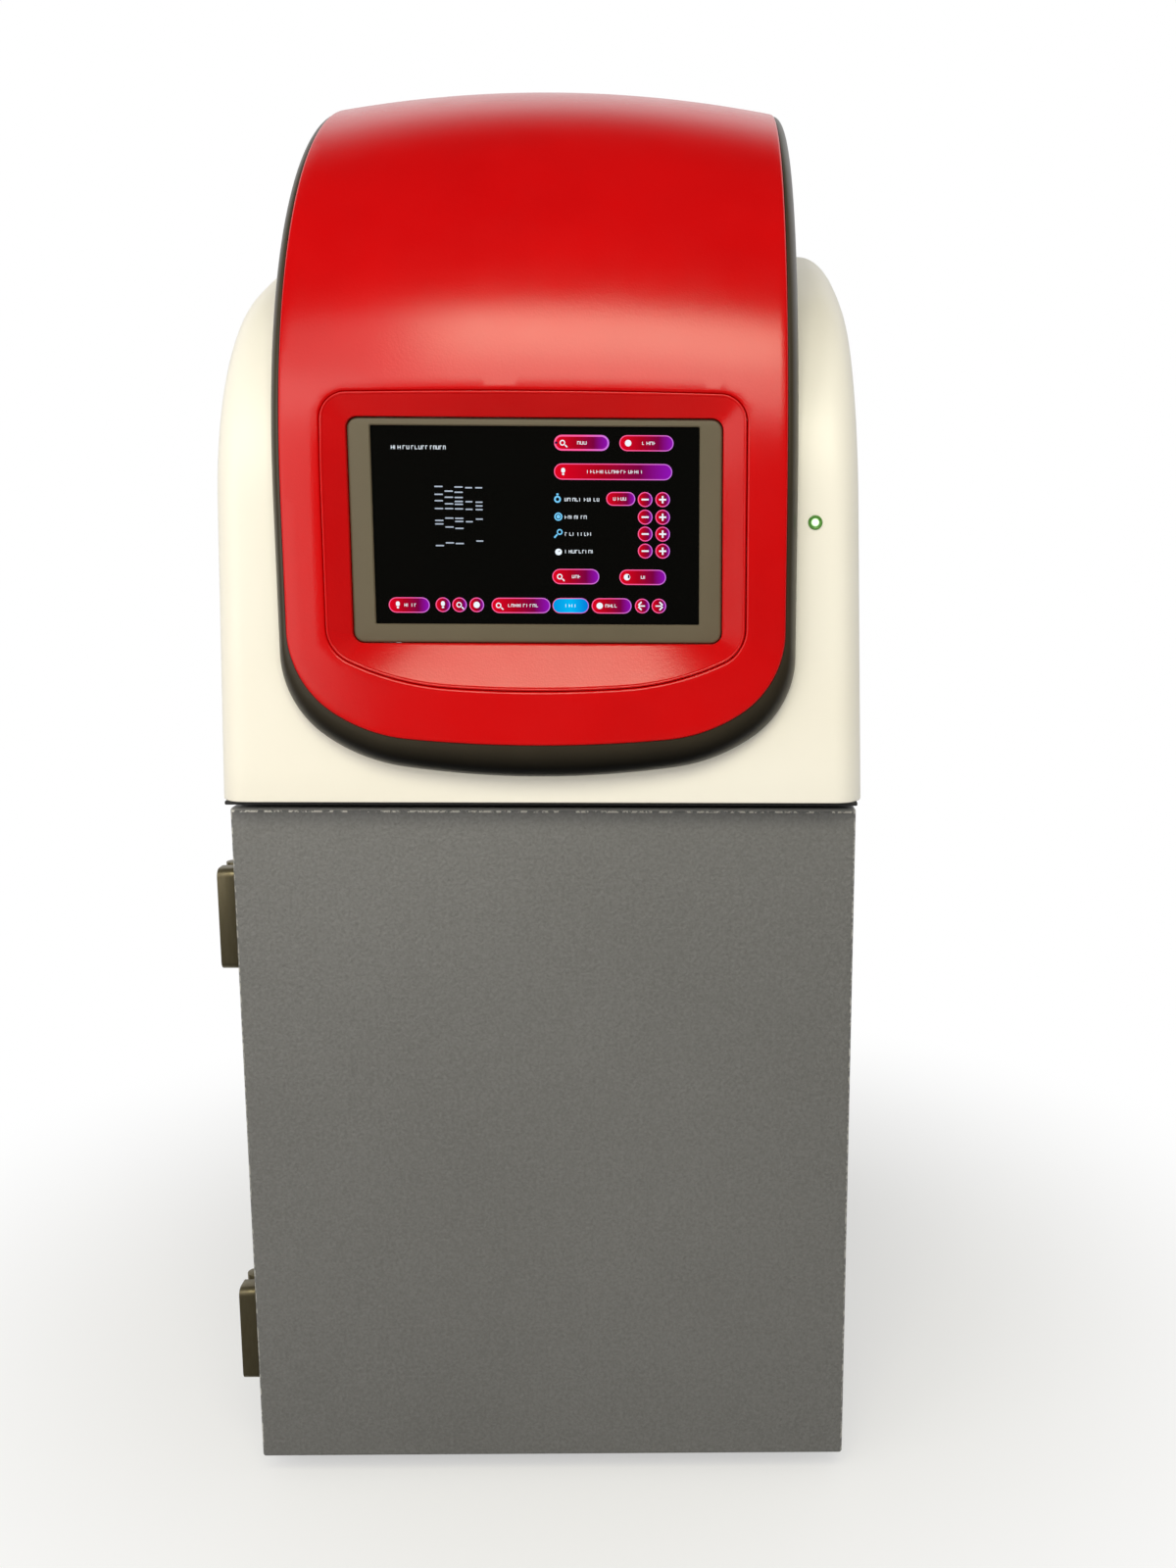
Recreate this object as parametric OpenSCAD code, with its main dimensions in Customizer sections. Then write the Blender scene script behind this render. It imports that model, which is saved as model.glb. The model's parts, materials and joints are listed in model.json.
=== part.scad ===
// Gel documentation system: a light-tight cabinet with a hinged door, a
// pull-out ultraviolet light table, and a moulded hood that carries the
// camera, a motorised zoom lens, the electronics and a touch screen.
// Millimetres. +Z up, the front faces -Y, origin under the middle of the body.

/* [Cabinet] */
// Width across the sheet-metal cabinet
cab_w = 310; // [306:1:316]
// Depth of the cabinet behind the door
cab_d = 399; // [390:1:405]
// Height of the cabinet body, from the base pan to the roof
cab_h = 356; // [352:1:358]
// Thickness of the cabinet sheet
sheet = 1.5; // [1.2:0.1:2]
// Height of the rubber feet
foot_h = 12; // [8:1:16]

/* [Door] */
// Thickness of the folded door
door_t = 20; // [18:1:22]
// Height of the door
door_h = 353; // [350:1:354]
// Half-height of one hinge
hinge_half = 26; // [20:1:30]

/* [Hood] */
// Width of the hood at its foot
hood_w = 314; // [310:1:318]
// Width lost to the draft at shoulder height
hood_draft = 14; // [8:1:20]
// How far the hood's front stands ahead of the door
hood_lead = 13; // [10:1:16]
// Height of the upright part of the hood's front, above the hood's foot
hood_front_h = 143; // [135:1:150]
// Wall of the hood moulding
hood_wall = 3.5; // [3:0.5:4]

/* [Visor] */
// Width of the red visor
visor_w = 234; // [230:1:238]
// Width across the dark trim round the visor
trim_w = 245; // [241:1:249]
// Height of the visor's crest line above the hood's foot
visor_h = 367; // [360:1:372]
// Wall of the visor moulding
visor_wall = 3; // [2.5:0.5:3.5]

/* [Light table] */
// Side of the square ultraviolet filter
filter_side = 200; // [180:5:204]
// Number of ultraviolet tubes
tube_count = 6; // [4:1:6]
// Width of the pull-out tray
tray_w = 244; // [240:1:248]

/* [Lens] */
// Teeth on each ring gear of the lens
ring_teeth = 64; // [60:1:66]
// Teeth on each motor pinion
pinion_teeth = 18; // [17:1:20]
// Gear module, pitch diameter over teeth
gear_mod = 1; // [1:0.01:1.02]

/* [Hidden] */
eps = 0.01;

// Levels and planes of the cabinet
gap = 0.5;                       // between a moving body and its neighbour
base_z = foot_h;
roof_z = base_z + cab_h;         // top of the side panels, underside of the roof
half_w = cab_w / 2;
door_back = -177;                // rear plane of the door
door_front = door_back - door_t;
cab_front = door_back + gap;
cab_back = cab_front + cab_d;
inner_w = half_w - sheet;
door_z0 = base_z + 2;
frame_y = cab_front + 3;         // front face of the frame that the seal sits on
open_w = 134;                    // half-width of the loading opening
open_z0 = base_z + 10;
open_z1 = roof_z - 22;

// Levels and planes of the hood
plate = 2;
hood_z = roof_z + 2 * plate;     // foot of the hood, on its base plate
hood_front = door_front - hood_lead;
edge_r = 14;                     // rounding of the hood's long edges
shoulder_r = 116;
crown_r = 534;
rear_r = 44;
lean = 25;                       // slope where the shoulder meets the long top curve

// Light table
axis_y = 22;                     // middle of the light table and of the lens
tray_y0 = -140;
tray_y1 = 185;
tray_z0 = 24;
tray_half = tray_w / 2;
case_top = 88;
tube_r = 8;
tube_len = 288;
rail_h = 20;
rail_z0 = 28;

// Lens stack, bottom to top
lens_z = hood_z + 2;
ring_h = 12;
ring_gap = 4;
barrel_foot = 18;
ring_z = [for (i = [0 : 2]) lens_z + barrel_foot + i * (ring_h + ring_gap)];
seat_r = 28;
fit = 0.05;                      // running clearance on the radius
ring_r = gear_mod * ring_teeth / 2;
pinion_r = gear_mod * pinion_teeth / 2;
mesh_gap = 0.12;
motor_d = ring_r + pinion_r + mesh_gap;
motor_az = [-90, 180, 0];        // where each motor stands round the lens
shaft_r = 1.5;
shelf_z = lens_z + 92;

// Screen, in the plane of the door
screen_z0 = 458.8;
screen_w = 152.4;
screen_h = 91.4;
bezel_w = 174;
bezel_z0 = 449.8;
bezel_h = 104.2;
bezel_y = door_front - 18;
recess_half = 97.8;
recess_top = 564.2;
recess_bottom = 428.4;

// Rear cover and what it carries
cover_y = 219;
fan_x = 62;
fan_z = 470;
fan_half = 30;
inlet_x = -88;
inlet_z = 412;
rocker_z = 452;
ports_x = 60;
ports_z = 408;

// ---------- shared shapes ----------

module box(lo, hi) translate(lo) cube([hi[0] - lo[0], hi[1] - lo[1], hi[2] - lo[2]]);

// Mirrors its children to the other side as well.
module both_sides() {
    children();
    mirror([1, 0, 0]) children();
}

// Extrudes a drawing in (x, z) from y0 to y1.
module along_y(y0, y1) translate([0, y1, 0]) rotate([90, 0, 0]) linear_extrude(y1 - y0) children();

// Extrudes a drawing in (y, z) from x0 to x1.
module along_x(x0, x1)
    translate([x0, 0, 0]) rotate([90, 0, 90]) linear_extrude(x1 - x0) children();

// A rectangle whose four corners are round.
module rounded(lo, hi, r) {
    polygon([for (c = [[hi[0] - r, hi[1] - r, 0], [lo[0] + r, hi[1] - r, 90],
                       [lo[0] + r, lo[1] + r, 180], [hi[0] - r, lo[1] + r, 270]])
             for (a = [0 : 22.5 : 90]) [c[0] + r * cos(c[2] + a), c[1] + r * sin(c[2] + a)]]);
}

// One stretch of a path: a straight run of length r, or an arc of radius r that
// turns clockwise, or the other way if turn is negative. A state is [y, z, heading].
function stretch(s, r, turn, n) = turn == 0
    ? [for (i = [1 : n]) [s[0] + r * i / n * cos(s[2]), s[1] + r * i / n * sin(s[2]), s[2]]]
    : [for (i = [1 : n]) let (a = s[2] - turn * i / n, q = r * sign(turn))
        [s[0] + q * (sin(s[2]) - sin(a)), s[1] + q * (cos(a) - cos(s[2])), a]];
function walk(s, segs, k = 0) = k == len(segs) ? []
    : let (pts = stretch(s, segs[k][0], segs[k][1], segs[k][2]))
      concat(pts, walk(pts[len(pts) - 1], segs, k + 1));
function unit(v) = v / norm(v);

// Joins stacked loops of equal length into one closed skin; closed_ring
// joins the last loop to the first in place of two convex end faces.
module skin(loops, closed_ring = false) {
    m = len(loops);
    n = len(loops[0]);
    last = closed_ring ? m - 1 : m - 2;
    polyhedron(
        points = [for (l = loops) each l],
        faces = concat(
            [for (j = [0 : last]) for (i = [0 : n - 1])
                let (a = j * n, b = ((j + 1) % m) * n, k = (i + 1) % n)
                each [[a + i, a + k, b + k], [a + i, b + k, b + i]]],
            closed_ring ? [] : [for (i = [1 : n - 2]) let (c = (m - 1) * n)
                each [[0, i + 1, i], [c, c + i, c + i + 1]]]),
        convexity = 6);
}

// ---------- hood and visor surfaces ----------

// Side outline of the hood as [y, z, normal]: upright front, shoulder arc,
// long top arc, rear corner.
rear_turn = asin((cab_back - hood_front - shoulder_r * (1 - cos(90 - lean)) - crown_r * sin(lean) - rear_r)
                 / (crown_r - rear_r));
hood_start = [hood_front, hood_z, 90];
hood_states = concat([hood_start], walk(hood_start, [
    [hood_front_h, 0, 1], [shoulder_r, 90 - lean, 9], [crown_r, lean + rear_turn, 8],
    [rear_r, 90 - rear_turn, 5]]));
hood_side = concat(
    [for (s = hood_states) [s[0], s[1], [-sin(s[2]), cos(s[2])]]],
    [[cab_back, hood_z, [1, 0]]]);

// Side outline of the visor: a superellipse on an upright foot.
visor_foot = 142;
visor_c = [33, hood_z + visor_foot];
visor_a = [255, visor_h - visor_foot];
visor_n = 2.2;
function visor_dir(t) = let (c = cos(t), s = sin(t), p = 2 * (visor_n - 1) / visor_n)
    unit([-sign(c) * pow(abs(c), p) / visor_a[0], pow(abs(s), p) / visor_a[1]]);
visor_side = concat(
    [[visor_c[0] - visor_a[0], hood_z, [-1, 0]]],
    [for (i = [0 : 26]) let (t = 180 * i / 26, p = 2 / visor_n, c = cos(t), s = abs(sin(t)))
        [visor_c[0] - sign(c) * visor_a[0] * pow(abs(c), p), visor_c[1] + visor_a[1] * pow(s, p),
         i == 0 ? [-1, 0] : i == 26 ? [1, 0] : visor_dir(t)]],
    [[visor_c[0] + visor_a[0], hood_z, [1, 0]]]);

// Width left at height z by the draft of the hood's sides.
function draft(z) = 1 - (z - hood_z) / 242 * hood_draft / hood_w;

// A loop of the side outline at x, set in by d, with the hood's draft if any.
function side_loop(side, x, d, drafted) = [for (p = side)
    let (y = p[0] - p[2][0] * d, z = p[1] - p[2][1] * d) [drafted ? x * draft(z) : x, y, z]];

// The hood as a solid, its long edges rounded; inset makes the inner one.
module hood_solid(inset = 0) {
    w = hood_w / 2 - inset;
    r = edge_r - inset;
    steps = [0 : 15 : 90];
    skin(concat(
        [for (a = steps) side_loop(hood_side, -(w - r) - r * cos(a), inset + r * (1 - sin(a)), true)],
        [for (a = steps) side_loop(hood_side, w - r + r * sin(a), inset + r * (1 - cos(a)), true)]));
}

// The visor as a solid, crowned across its width: more at the top than in front.
crown_front = 5;
crown_top = 10;
function crown(x, nz) =
    (crown_front + (crown_top - crown_front) * max(nz, 0)) * (1 - pow(2 * x / visor_w, 2));
function visor_loop(x, d) = [for (p = visor_side)
    let (off = crown(x, p[2][1]) - d) [x, p[0] + p[2][0] * off, p[1] + p[2][1] * off]];
module visor_solid(half, inset) {
    n = 5;
    skin([for (i = [-n : n]) visor_loop(half * i / n, inset)]);
}
// The visor's front surface at (x, z), and the height of its edge at y.
function visor_front_y(x, z) = visor_c[0] - crown(x, 0)
    - visor_a[0] * pow(1 - pow(max(z - visor_c[1], 0) / visor_a[1], visor_n), 1 / visor_n);
function visor_edge_z(y) = visor_c[1]
    + visor_a[1] * pow(1 - pow(abs(y - visor_c[0]) / visor_a[0], visor_n), 1 / visor_n);

// Half of a front outline, from the bottom middle to the side: three arcs
// that grow tighter towards the side. The last radius is what is left.
function bottom_half(half, z0, r1, a1, r2, a2) =
    let (r3 = (half - r1 * sin(a1) - r2 * (sin(a2) - sin(a1))) / (1 - sin(a2)),
         s = [0, z0, 0])
    [for (p = concat([s], walk(s, [[r1, -a1, 3], [r2, a1 - a2, 5], [r3, a2 - 90, 7]]))) [p[0], p[1]]];
function mirrored(half) = concat(half,
    [for (i = [len(half) - 1 : -1 : 1]) if (half[i][0] > eps) [-half[i][0], half[i][1]]]);
visor_half = bottom_half(visor_w / 2, 402.5, 700, 5, 76.5, 33);
trim_half = bottom_half(trim_w / 2, 386, 469, 8, 86, 35);
recess_half_pts = bottom_half(recess_half, recess_bottom, 600, 4, 130, 25);
sky = hood_z + visor_h + 40;
function shield(half) = mirrored(concat(half, [[half[len(half) - 1][0], sky]]));

// Closed outline of the screen recess: the arced bottom, then round top corners.
top_r = 12;
function top_corner(half, top, r) = [for (a = [0 : 15 : 90]) [half - r + r * cos(a), top - r + r * sin(a)]];
recess_outline = concat(recess_half_pts, top_corner(recess_half, recess_top, top_r));
bezel_half = bezel_w / 2;
bezel_r = 5;
bezel_outline = concat(
    [for (i = [0 : 8]) [recess_half_pts[i][0] / recess_half_pts[8][0] * (bezel_half - bezel_r), bezel_z0]],
    [for (i = [1 : 7]) let (a = 90 * i / 7)
        [bezel_half - bezel_r + bezel_r * sin(a), bezel_z0 + bezel_r - bezel_r * cos(a)]],
    top_corner(bezel_half, bezel_z0 + bezel_h, bezel_r));
function grown(pts, c, by) = [for (p = pts) let (v = p - c) p + [v[0] < eps ? 0 : by, 0] * sign(v[0])
                              + [0, by] * sign(v[1])];
screen_c = [0, bezel_z0 + bezel_h / 2];

// ---------- cabinet ----------

module side_panel_left() color("dimgray") side_panel();
module side_panel_right() color("dimgray") mirror([1, 0, 0]) side_panel();
// A flat panel with a front return that the frame is riveted to.
module side_panel() {
    box([-half_w, cab_front, base_z + sheet], [-inner_w, cab_back, roof_z]);
    box([-inner_w, frame_y + sheet, base_z + sheet + 1], [-inner_w + 4, frame_y + 2 * sheet, roof_z - sheet]);
}

module back_panel() color("dimgray") {
    box([-inner_w, cab_back - sheet, base_z + sheet], [inner_w, cab_back, roof_z]);
    // two shallow ribs pressed into the sheet from behind
    for (x = [-70, 70]) box([x - 8, cab_back - sheet - 3, 60], [x + 8, cab_back - sheet, roof_z - 40]);
}

module base_pan() color("dimgray")
    box([-half_w, cab_front, base_z], [half_w, cab_back, base_z + sheet]);

module roof_plate() color("gray") difference() {
    box([-half_w, cab_front, roof_z], [half_w, cab_back, roof_z + plate]);
    translate([0, axis_y, roof_z - 1]) cylinder(r = 38, h = plate + 2, $fn = 96);
}

// The frame round the loading opening, with a short return into the cabinet.
module front_frame() color("dimgray") difference() {
    union() {
        box([-inner_w, frame_y, base_z + sheet], [inner_w, frame_y + sheet, roof_z]);
        box([-open_w - sheet, frame_y, open_z0 - sheet], [open_w + sheet, frame_y + 9, open_z1 + sheet]);
    }
    box([-open_w, frame_y - 1, open_z0], [open_w, frame_y + 20, open_z1]);
    translate([plunger_x, frame_y - 1, plunger_z]) rotate([-90, 0, 0])
        cylinder(r = plunger_r + fit, h = 4, $fn = 48);
}

module feet() color("#202020")
    for (x = [-125, 125]) for (y = [-150, 193]) translate([x, y, 0]) {
        cylinder(r1 = 12, r2 = 14, h = foot_h - 2, $fn = 48);
        translate([0, 0, foot_h - 2]) cylinder(r = 14, h = 2, $fn = 48);
    }

seal_w = 5;
seal_in = 2;
module door_seal() color("#181818") difference() {
    box([-open_w - seal_in - seal_w, cab_front + 0.2, open_z0 - seal_in - seal_w],
        [open_w + seal_in + seal_w, frame_y, open_z1 + seal_in + seal_w]);
    box([-open_w - seal_in, cab_front - 1, open_z0 - seal_in],
        [open_w + seal_in, frame_y + 1, open_z1 + seal_in]);
}

// Lift-off hinges at the left edge: the lower knuckle and the pin stay with
// the cabinet, the upper knuckle lifts away with the door.
hinge_x = -half_w - 5;
hinge_y = door_back + 2;
hinge_z = [83, 309];
knuckle_r = 4.6;
pin_r = 2;
leaf_t = 2;
module hinge_body_leaves() color("#2a2522")
    for (z = hinge_z) translate([0, 0, z]) difference() {
        union() {
            translate([hinge_x, hinge_y, -hinge_half]) cylinder(r = knuckle_r, h = hinge_half, $fn = 48);
            box([-half_w - leaf_t, hinge_y, -hinge_half], [-half_w, hinge_y + 6, 0]);
            along_x(-half_w - leaf_t, -half_w)
                rounded([hinge_y + 5.5, -hinge_half], [hinge_y + 27, hinge_half], 4);
        }
        translate([hinge_x, hinge_y, -hinge_half + 4]) cylinder(r = pin_r, h = hinge_half, $fn = 48);
    }
module hinge_pins() color("silver")
    for (z = hinge_z) translate([hinge_x, hinge_y, z - hinge_half + 4])
        cylinder(r = pin_r, h = 2 * hinge_half - 8, $fn = 48);
module hinge_door_leaves() color("#2a2522")
    for (z = hinge_z) translate([0, 0, z]) difference() {
        union() {
            along_x(-half_w - 9, -half_w)
                rounded([door_front + 3, -hinge_half], [hinge_y - knuckle_r - 0.6, hinge_half], 4);
            translate([hinge_x, hinge_y, 0.3]) cylinder(r = knuckle_r, h = hinge_half - 0.3, $fn = 48);
            box([hinge_x - 4, hinge_y - 6, 0.3], [-half_w - 2.4, hinge_y, hinge_half - 4]);
        }
        translate([hinge_x, hinge_y, 0]) cylinder(r = pin_r + fit, h = hinge_half - 3.5, $fn = 48);
    }

// Magnetic catch on the frame, opposite the hinges.
catch_x = 147;
catch_z = [170, 216];
module magnetic_catch() color("#303030")
    box([catch_x - 4, cab_front + 0.1, catch_z[0]], [catch_x + 6, frame_y, catch_z[1]]);

// Door interlock: a plunger switch behind the frame.
plunger_x = 146;
plunger_z = 320;
plunger_r = 2.5;
module interlock_switch() color("#15151a") difference() {
    box([plunger_x - 7, frame_y + 2 * sheet, plunger_z - 12], [plunger_x + 7, frame_y + 26, plunger_z + 12]);
    translate([plunger_x, frame_y, plunger_z]) rotate([-90, 0, 0])
        cylinder(r = plunger_r + fit, h = 22, $fn = 48);
}
module interlock_plunger() color("white")
    translate([plunger_x, cab_front + 0.1, plunger_z]) rotate([-90, 0, 0]) {
        cylinder(r1 = 1.8, r2 = plunger_r, h = 1, $fn = 48);
        translate([0, 0, 1]) cylinder(r = plunger_r, h = 17, $fn = 48);
    }

// ---------- door ----------

module door_skin() color("#4a4c50") difference() {
    intersection() {
        translate([0, 0, door_z0]) linear_extrude(door_h)
            polygon(concat(
                [for (a = [0 : 30 : 90]) [half_w - 2 + 2 * sin(a), door_front + 2 - 2 * cos(a)]],
                [[half_w, door_back], [-half_w, door_back]],
                [for (a = [90 : -30 : 0]) [-half_w + 2 - 2 * sin(a), door_front + 2 - 2 * cos(a)]]));
        along_x(-half_w - 1, half_w + 1)
            polygon(concat(
                [for (a = [0 : 30 : 90]) [door_front + 2 - 2 * cos(a), door_z0 + door_h - 2 + 2 * sin(a)]],
                [[door_back, door_z0 + door_h], [door_back, door_z0]],
                [for (a = [90 : -30 : 0]) [door_front + 2 - 2 * cos(a), door_z0 + 2 - 2 * sin(a)]]));
    }
    box([-inner_w, door_front + sheet, door_z0 + sheet], [inner_w, door_back + 1, door_z0 + door_h - sheet]);
}
liner_t = 1.5;
module door_liner() color("#3a3b3e") difference() {
    union() {
        box([-inner_w, door_back - liner_t, door_z0 + sheet], [inner_w, door_back, door_z0 + door_h - sheet]);
        for (x = [-90, 0, 90])
            box([x - 12, door_front + sheet, door_z0 + 20],
                [x + 12, door_back - liner_t, door_z0 + door_h - 20]);
    }
    box([catch_x - 5, door_back - liner_t, catch_z[0] - 3], [catch_x + 6, door_back + 1, catch_z[1] + 3]);
}
module strike_plate() color("silver")
    box([catch_x - 5, door_back - liner_t, catch_z[0] - 3], [catch_x + 6, door_back - 0.1, catch_z[1] + 3]);

// ---------- slide-out light table ----------

rail_x = tray_half;
rail_gap = 0.4;
module slide_rails_outer() color("silver") both_sides() difference() {
    box([rail_x + 3, tray_y0 + 15, base_z + sheet], [rail_x + 14, tray_y1 + 10, rail_z0 + rail_h + 4]);
    box([rail_x + 2, tray_y0 + 14, rail_z0 - rail_gap],
        [rail_x + 10, tray_y1 + 12, rail_z0 + rail_h + rail_gap]);
}
module slide_rails_inner() color("gainsboro") both_sides() {
    box([rail_x, tray_y0 + 16, rail_z0 + 4], [rail_x + 3, tray_y1, rail_z0 + rail_h - 4]);
    box([rail_x + 3, tray_y0 + 16, rail_z0], [rail_x + 9.5, tray_y1, rail_z0 + rail_h]);
}

module tray() color("gray") difference() {
    box([-tray_half, tray_y0, tray_z0], [tray_half, tray_y1, 62]);
    box([-tray_half + sheet, tray_y0 + sheet, tray_z0 + sheet], [tray_half - sheet, tray_y1 - sheet, 70]);
}
// A handle lip folded forward from the tray.
module tray_handle() color("#202020") difference() {
    along_x(-60, 60) rounded([tray_y0 - 7, 36], [tray_y0, 52], 3);
    along_x(-52, 52) rounded([tray_y0 - 4.6, 30], [tray_y0 + 1, 48], 1.8);
}

case_half = tray_half - sheet - 1;
module transilluminator_case() color("#d8d8d4") difference() {
    box([-case_half, tray_y0 + 3, tray_z0 + sheet], [case_half, tray_y1 - 3, case_top]);
    box([-case_half + sheet, tray_y0 + 3 + sheet, tray_z0 + 2 * sheet],
        [case_half - sheet, tray_y1 - 3 - sheet, case_top + 1]);
}
glass_t = 4;
module filter_frame() color("#2c2c2c") difference() {
    box([-case_half, tray_y0 + 3, case_top], [case_half, tray_y1 - 3, case_top + 5]);
    box([-filter_side / 2 + 4, axis_y - filter_side / 2 + 4, case_top - 1],
        [filter_side / 2 - 4, axis_y + filter_side / 2 - 4, case_top + 6]);
    box([-filter_side / 2, axis_y - filter_side / 2, case_top + 1],
        [filter_side / 2, axis_y + filter_side / 2, case_top + 6]);
}
module uv_filter_glass() color("#241a3a")
    box([-filter_side / 2, axis_y - filter_side / 2, case_top + 1],
        [filter_side / 2, axis_y + filter_side / 2, case_top + 1 + glass_t]);

tube_pitch = 32;
tube_z = 66;
function tube_x(i) = (i - (tube_count - 1) / 2) * tube_pitch;
module uv_tubes() color("#e8e8ff")
    for (i = [0 : tube_count - 1]) translate([tube_x(i), axis_y - tube_len / 2, tube_z]) rotate([-90, 0, 0]) {
        cylinder(r = tube_r, h = tube_len, $fn = 48);
        for (y = [-6, tube_len]) for (s = [-2.5, 2.5]) translate([s, 0, y]) cylinder(r = 1, h = 6, $fn = 24);
    }
module tube_holders() color("white")
    for (s = [-1, 1]) for (i = [0 : tube_count - 1])
        translate([tube_x(i), axis_y + s * (tube_len / 2 + 4), 0]) difference() {
            box([-9, -4, tray_z0 + 2 * sheet], [9, 4, tube_z + 9]);
            for (k = [-2.5, 2.5]) translate([k, -5, tube_z]) rotate([-90, 0, 0])
                cylinder(r = 1, h = 10, $fn = 24);
        }

// ---------- inside the roof ----------

bar_half = 150;
// Extruded lamp bars with a face slanted towards the gel, and diffusers on it.
bar_top = [104, roof_z - 4];
bar_low = [144, roof_z - 34];
bar_face = unit(bar_low - bar_top);
bar_out = [bar_face[1], -bar_face[0]];
module epi_light_bars() color("silver") both_sides()
    along_y(-120, 160)
        polygon([[104, roof_z], [bar_half, roof_z], [bar_half, roof_z - 30], bar_low, bar_top]);
module epi_diffusers() color("white") both_sides()
    along_y(-116, 156) polygon([for (p = [[2.5, 0], [47.5, 0], [46.5, 3], [3.5, 3]])
                                bar_top + p[0] * bar_face + p[1] * bar_out]);
guide_x = 44;
guide_z = roof_z - 12;
module filter_guides() color("#303030") both_sides() difference() {
    box([guide_x - 4, -70, guide_z - 2], [guide_x + 4, 76, roof_z]);
    box([guide_x - 5, -71, guide_z], [guide_x + 0.6, 77, guide_z + 5]);
}
module filter_holder() color("#1c1c1c") difference() {
    union() {
        box([-guide_x, axis_y - 47, guide_z + 0.4], [guide_x, axis_y + 47, guide_z + 4.6]);
        box([-14, axis_y - 59, guide_z + 0.4], [14, axis_y - 47, guide_z + 4.6]);
    }
    translate([0, axis_y, guide_z - 1]) cylinder(r = 30, h = 10, $fn = 96);
}
module emission_filter() color("#b03010")
    translate([0, axis_y, guide_z + 1]) cylinder(r = 30, h = 3, $fn = 96);

// ---------- hood ----------

module hood_base() color("#3a3a3c") difference() {
    box([-half_w + 0.5, hood_front + 4, roof_z + plate], [half_w - 0.5, cab_back - 1, hood_z]);
    translate([0, axis_y, roof_z]) cylinder(r = 38, h = 10, $fn = 96);
}

module hood_shell() color("#f3efe0") difference() {
    hood_solid();
    translate([0, 0, -eps]) hood_solid(hood_wall);
    // open back, behind the rear cover
    box([-hood_w / 2 + 9, cover_y - 6, hood_z - 1], [hood_w / 2 - 9, cab_back + 1, 585]);
    // the mouth under the visor
    box([-visor_w / 2 + 5, hood_front - 1, 436], [visor_w / 2 - 5, cab_back + 1, sky]);
    translate([led_x, hood_front - 1, led_z]) rotate([-90, 0, 0]) cylinder(r = 2.6, h = 10, $fn = 32);
}

// The trim is a bead along the visor's edge with a thin cheek under it. A
// section starts under the visor, rolls outwards over a quarter ellipse and
// runs into the hood. At the back end the cheek is nearly solid.
bead_lap = 5;
bead_start = 1;
bead_drop = 11;
bead_reach = 80;
bead_fit = 0.3;
cheek_wall = 3.5;
function bead(w, wall) = concat(
    [[w, bead_reach]],
    [for (a = [90 : -18 : 0]) [max(w * sin(a), bead_fit), bead_start + bead_drop * (1 - cos(a))]],
    [[bead_fit, visor_wall + bead_fit], [-bead_lap, visor_wall + bead_fit],
     [-bead_lap, bead_drop + visor_wall], [w - wall, bead_drop + visor_wall], [w - wall, bead_reach]]);
// The section between the visor's edge at e and the trim's outline at o, with normal n.
function bead_at(e, o, n, wall) = let (w = norm(o - e), across = (o - e) / w)
    [for (p = bead(w, wall)) let (q = e + across * p[0]) q + n * (max(crown(q[0], n[2]), 0) - p[1])];
visor_plane = visor_c[0] - visor_a[0];
bead_right = concat(
    [for (i = [0 : len(visor_half) - 1]) let (e = visor_half[i], o = trim_half[i])
        bead_at([e[0], visor_plane, e[1]], [o[0], visor_plane, o[1]], [0, -1, 0], cheek_wall)],
    [for (p = visor_side) if (p[1] >= visor_c[1] && p[0] < cab_back + 25)
        bead_at([visor_w / 2, p[0], p[1]], [trim_w / 2, p[0], p[1]], [0, p[2][0], p[2][1]],
                p[0] < cab_back - 20 ? cheek_wall : (trim_w - visor_w) / 2 + bead_lap - 1)]);
bead_left = [for (i = [len(bead_right) - 1 : -1 : 1]) [for (p = bead_right[i]) [-p[0], p[1], p[2]]]];
module visor_trim() color("#26262a") difference() {
    skin(concat(bead_left, bead_right));
    hood_solid();
    box([-hood_w, cab_back, hood_z], [hood_w, cab_back + 100, sky]);
}

module visor() color("#b01218") difference() {
    intersection() {
        visor_solid(visor_w / 2, 0);
        along_y(hood_front - 60, cab_back) polygon(shield(visor_half));
    }
    visor_solid(visor_w / 2 + 1, visor_wall);
    along_y(hood_front - 60, hood_front + 30)
        polygon(mirrored(grown(recess_outline, screen_c, 0.3)));
}

// The recessed red insert round the screen: a rim level with the visor,
// sloping walls, and a flange behind the visor.
surround_outer = mirrored(recess_outline);
surround_wide = mirrored(grown(recess_outline, screen_c, 4));
surround_inner = mirrored(bezel_outline);
surround_back = mirrored(grown(bezel_outline, screen_c, 2.5));
function flat(pts, y) = [for (p = pts) [p[0], y, p[1]]];
function behind_visor(pts, dy) = [for (p = pts) [p[0], visor_front_y(p[0], p[1]) + dy, p[1]]];
module screen_surround() color("#b81c20")
    skin([flat(surround_inner, bezel_y + 1), behind_visor(surround_outer, 0.2),
          behind_visor(surround_outer, visor_wall + 0.3), behind_visor(surround_wide, visor_wall + 0.3),
          behind_visor(surround_wide, visor_wall + 2), flat(surround_back, bezel_y + 3.5),
          flat(surround_inner, bezel_y + 3.5)], true);
module screen_bezel() color("#3c3c40") difference() {
    along_y(bezel_y, bezel_y + 8)
        rounded([-bezel_half + 0.2, bezel_z0 + 0.2], [bezel_half - 0.2, bezel_z0 + bezel_h - 0.2], bezel_r);
    along_y(bezel_y - 1, bezel_y + 9)
        rounded([-screen_w / 2, screen_z0], [screen_w / 2, screen_z0 + screen_h], 0.5);
    along_y(bezel_y + 1.5, bezel_y + 9)
        rounded([-bezel_half + 2.5, bezel_z0 + 2.2], [bezel_half - 2.5, bezel_z0 + bezel_h - 2], 3);
}
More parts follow.
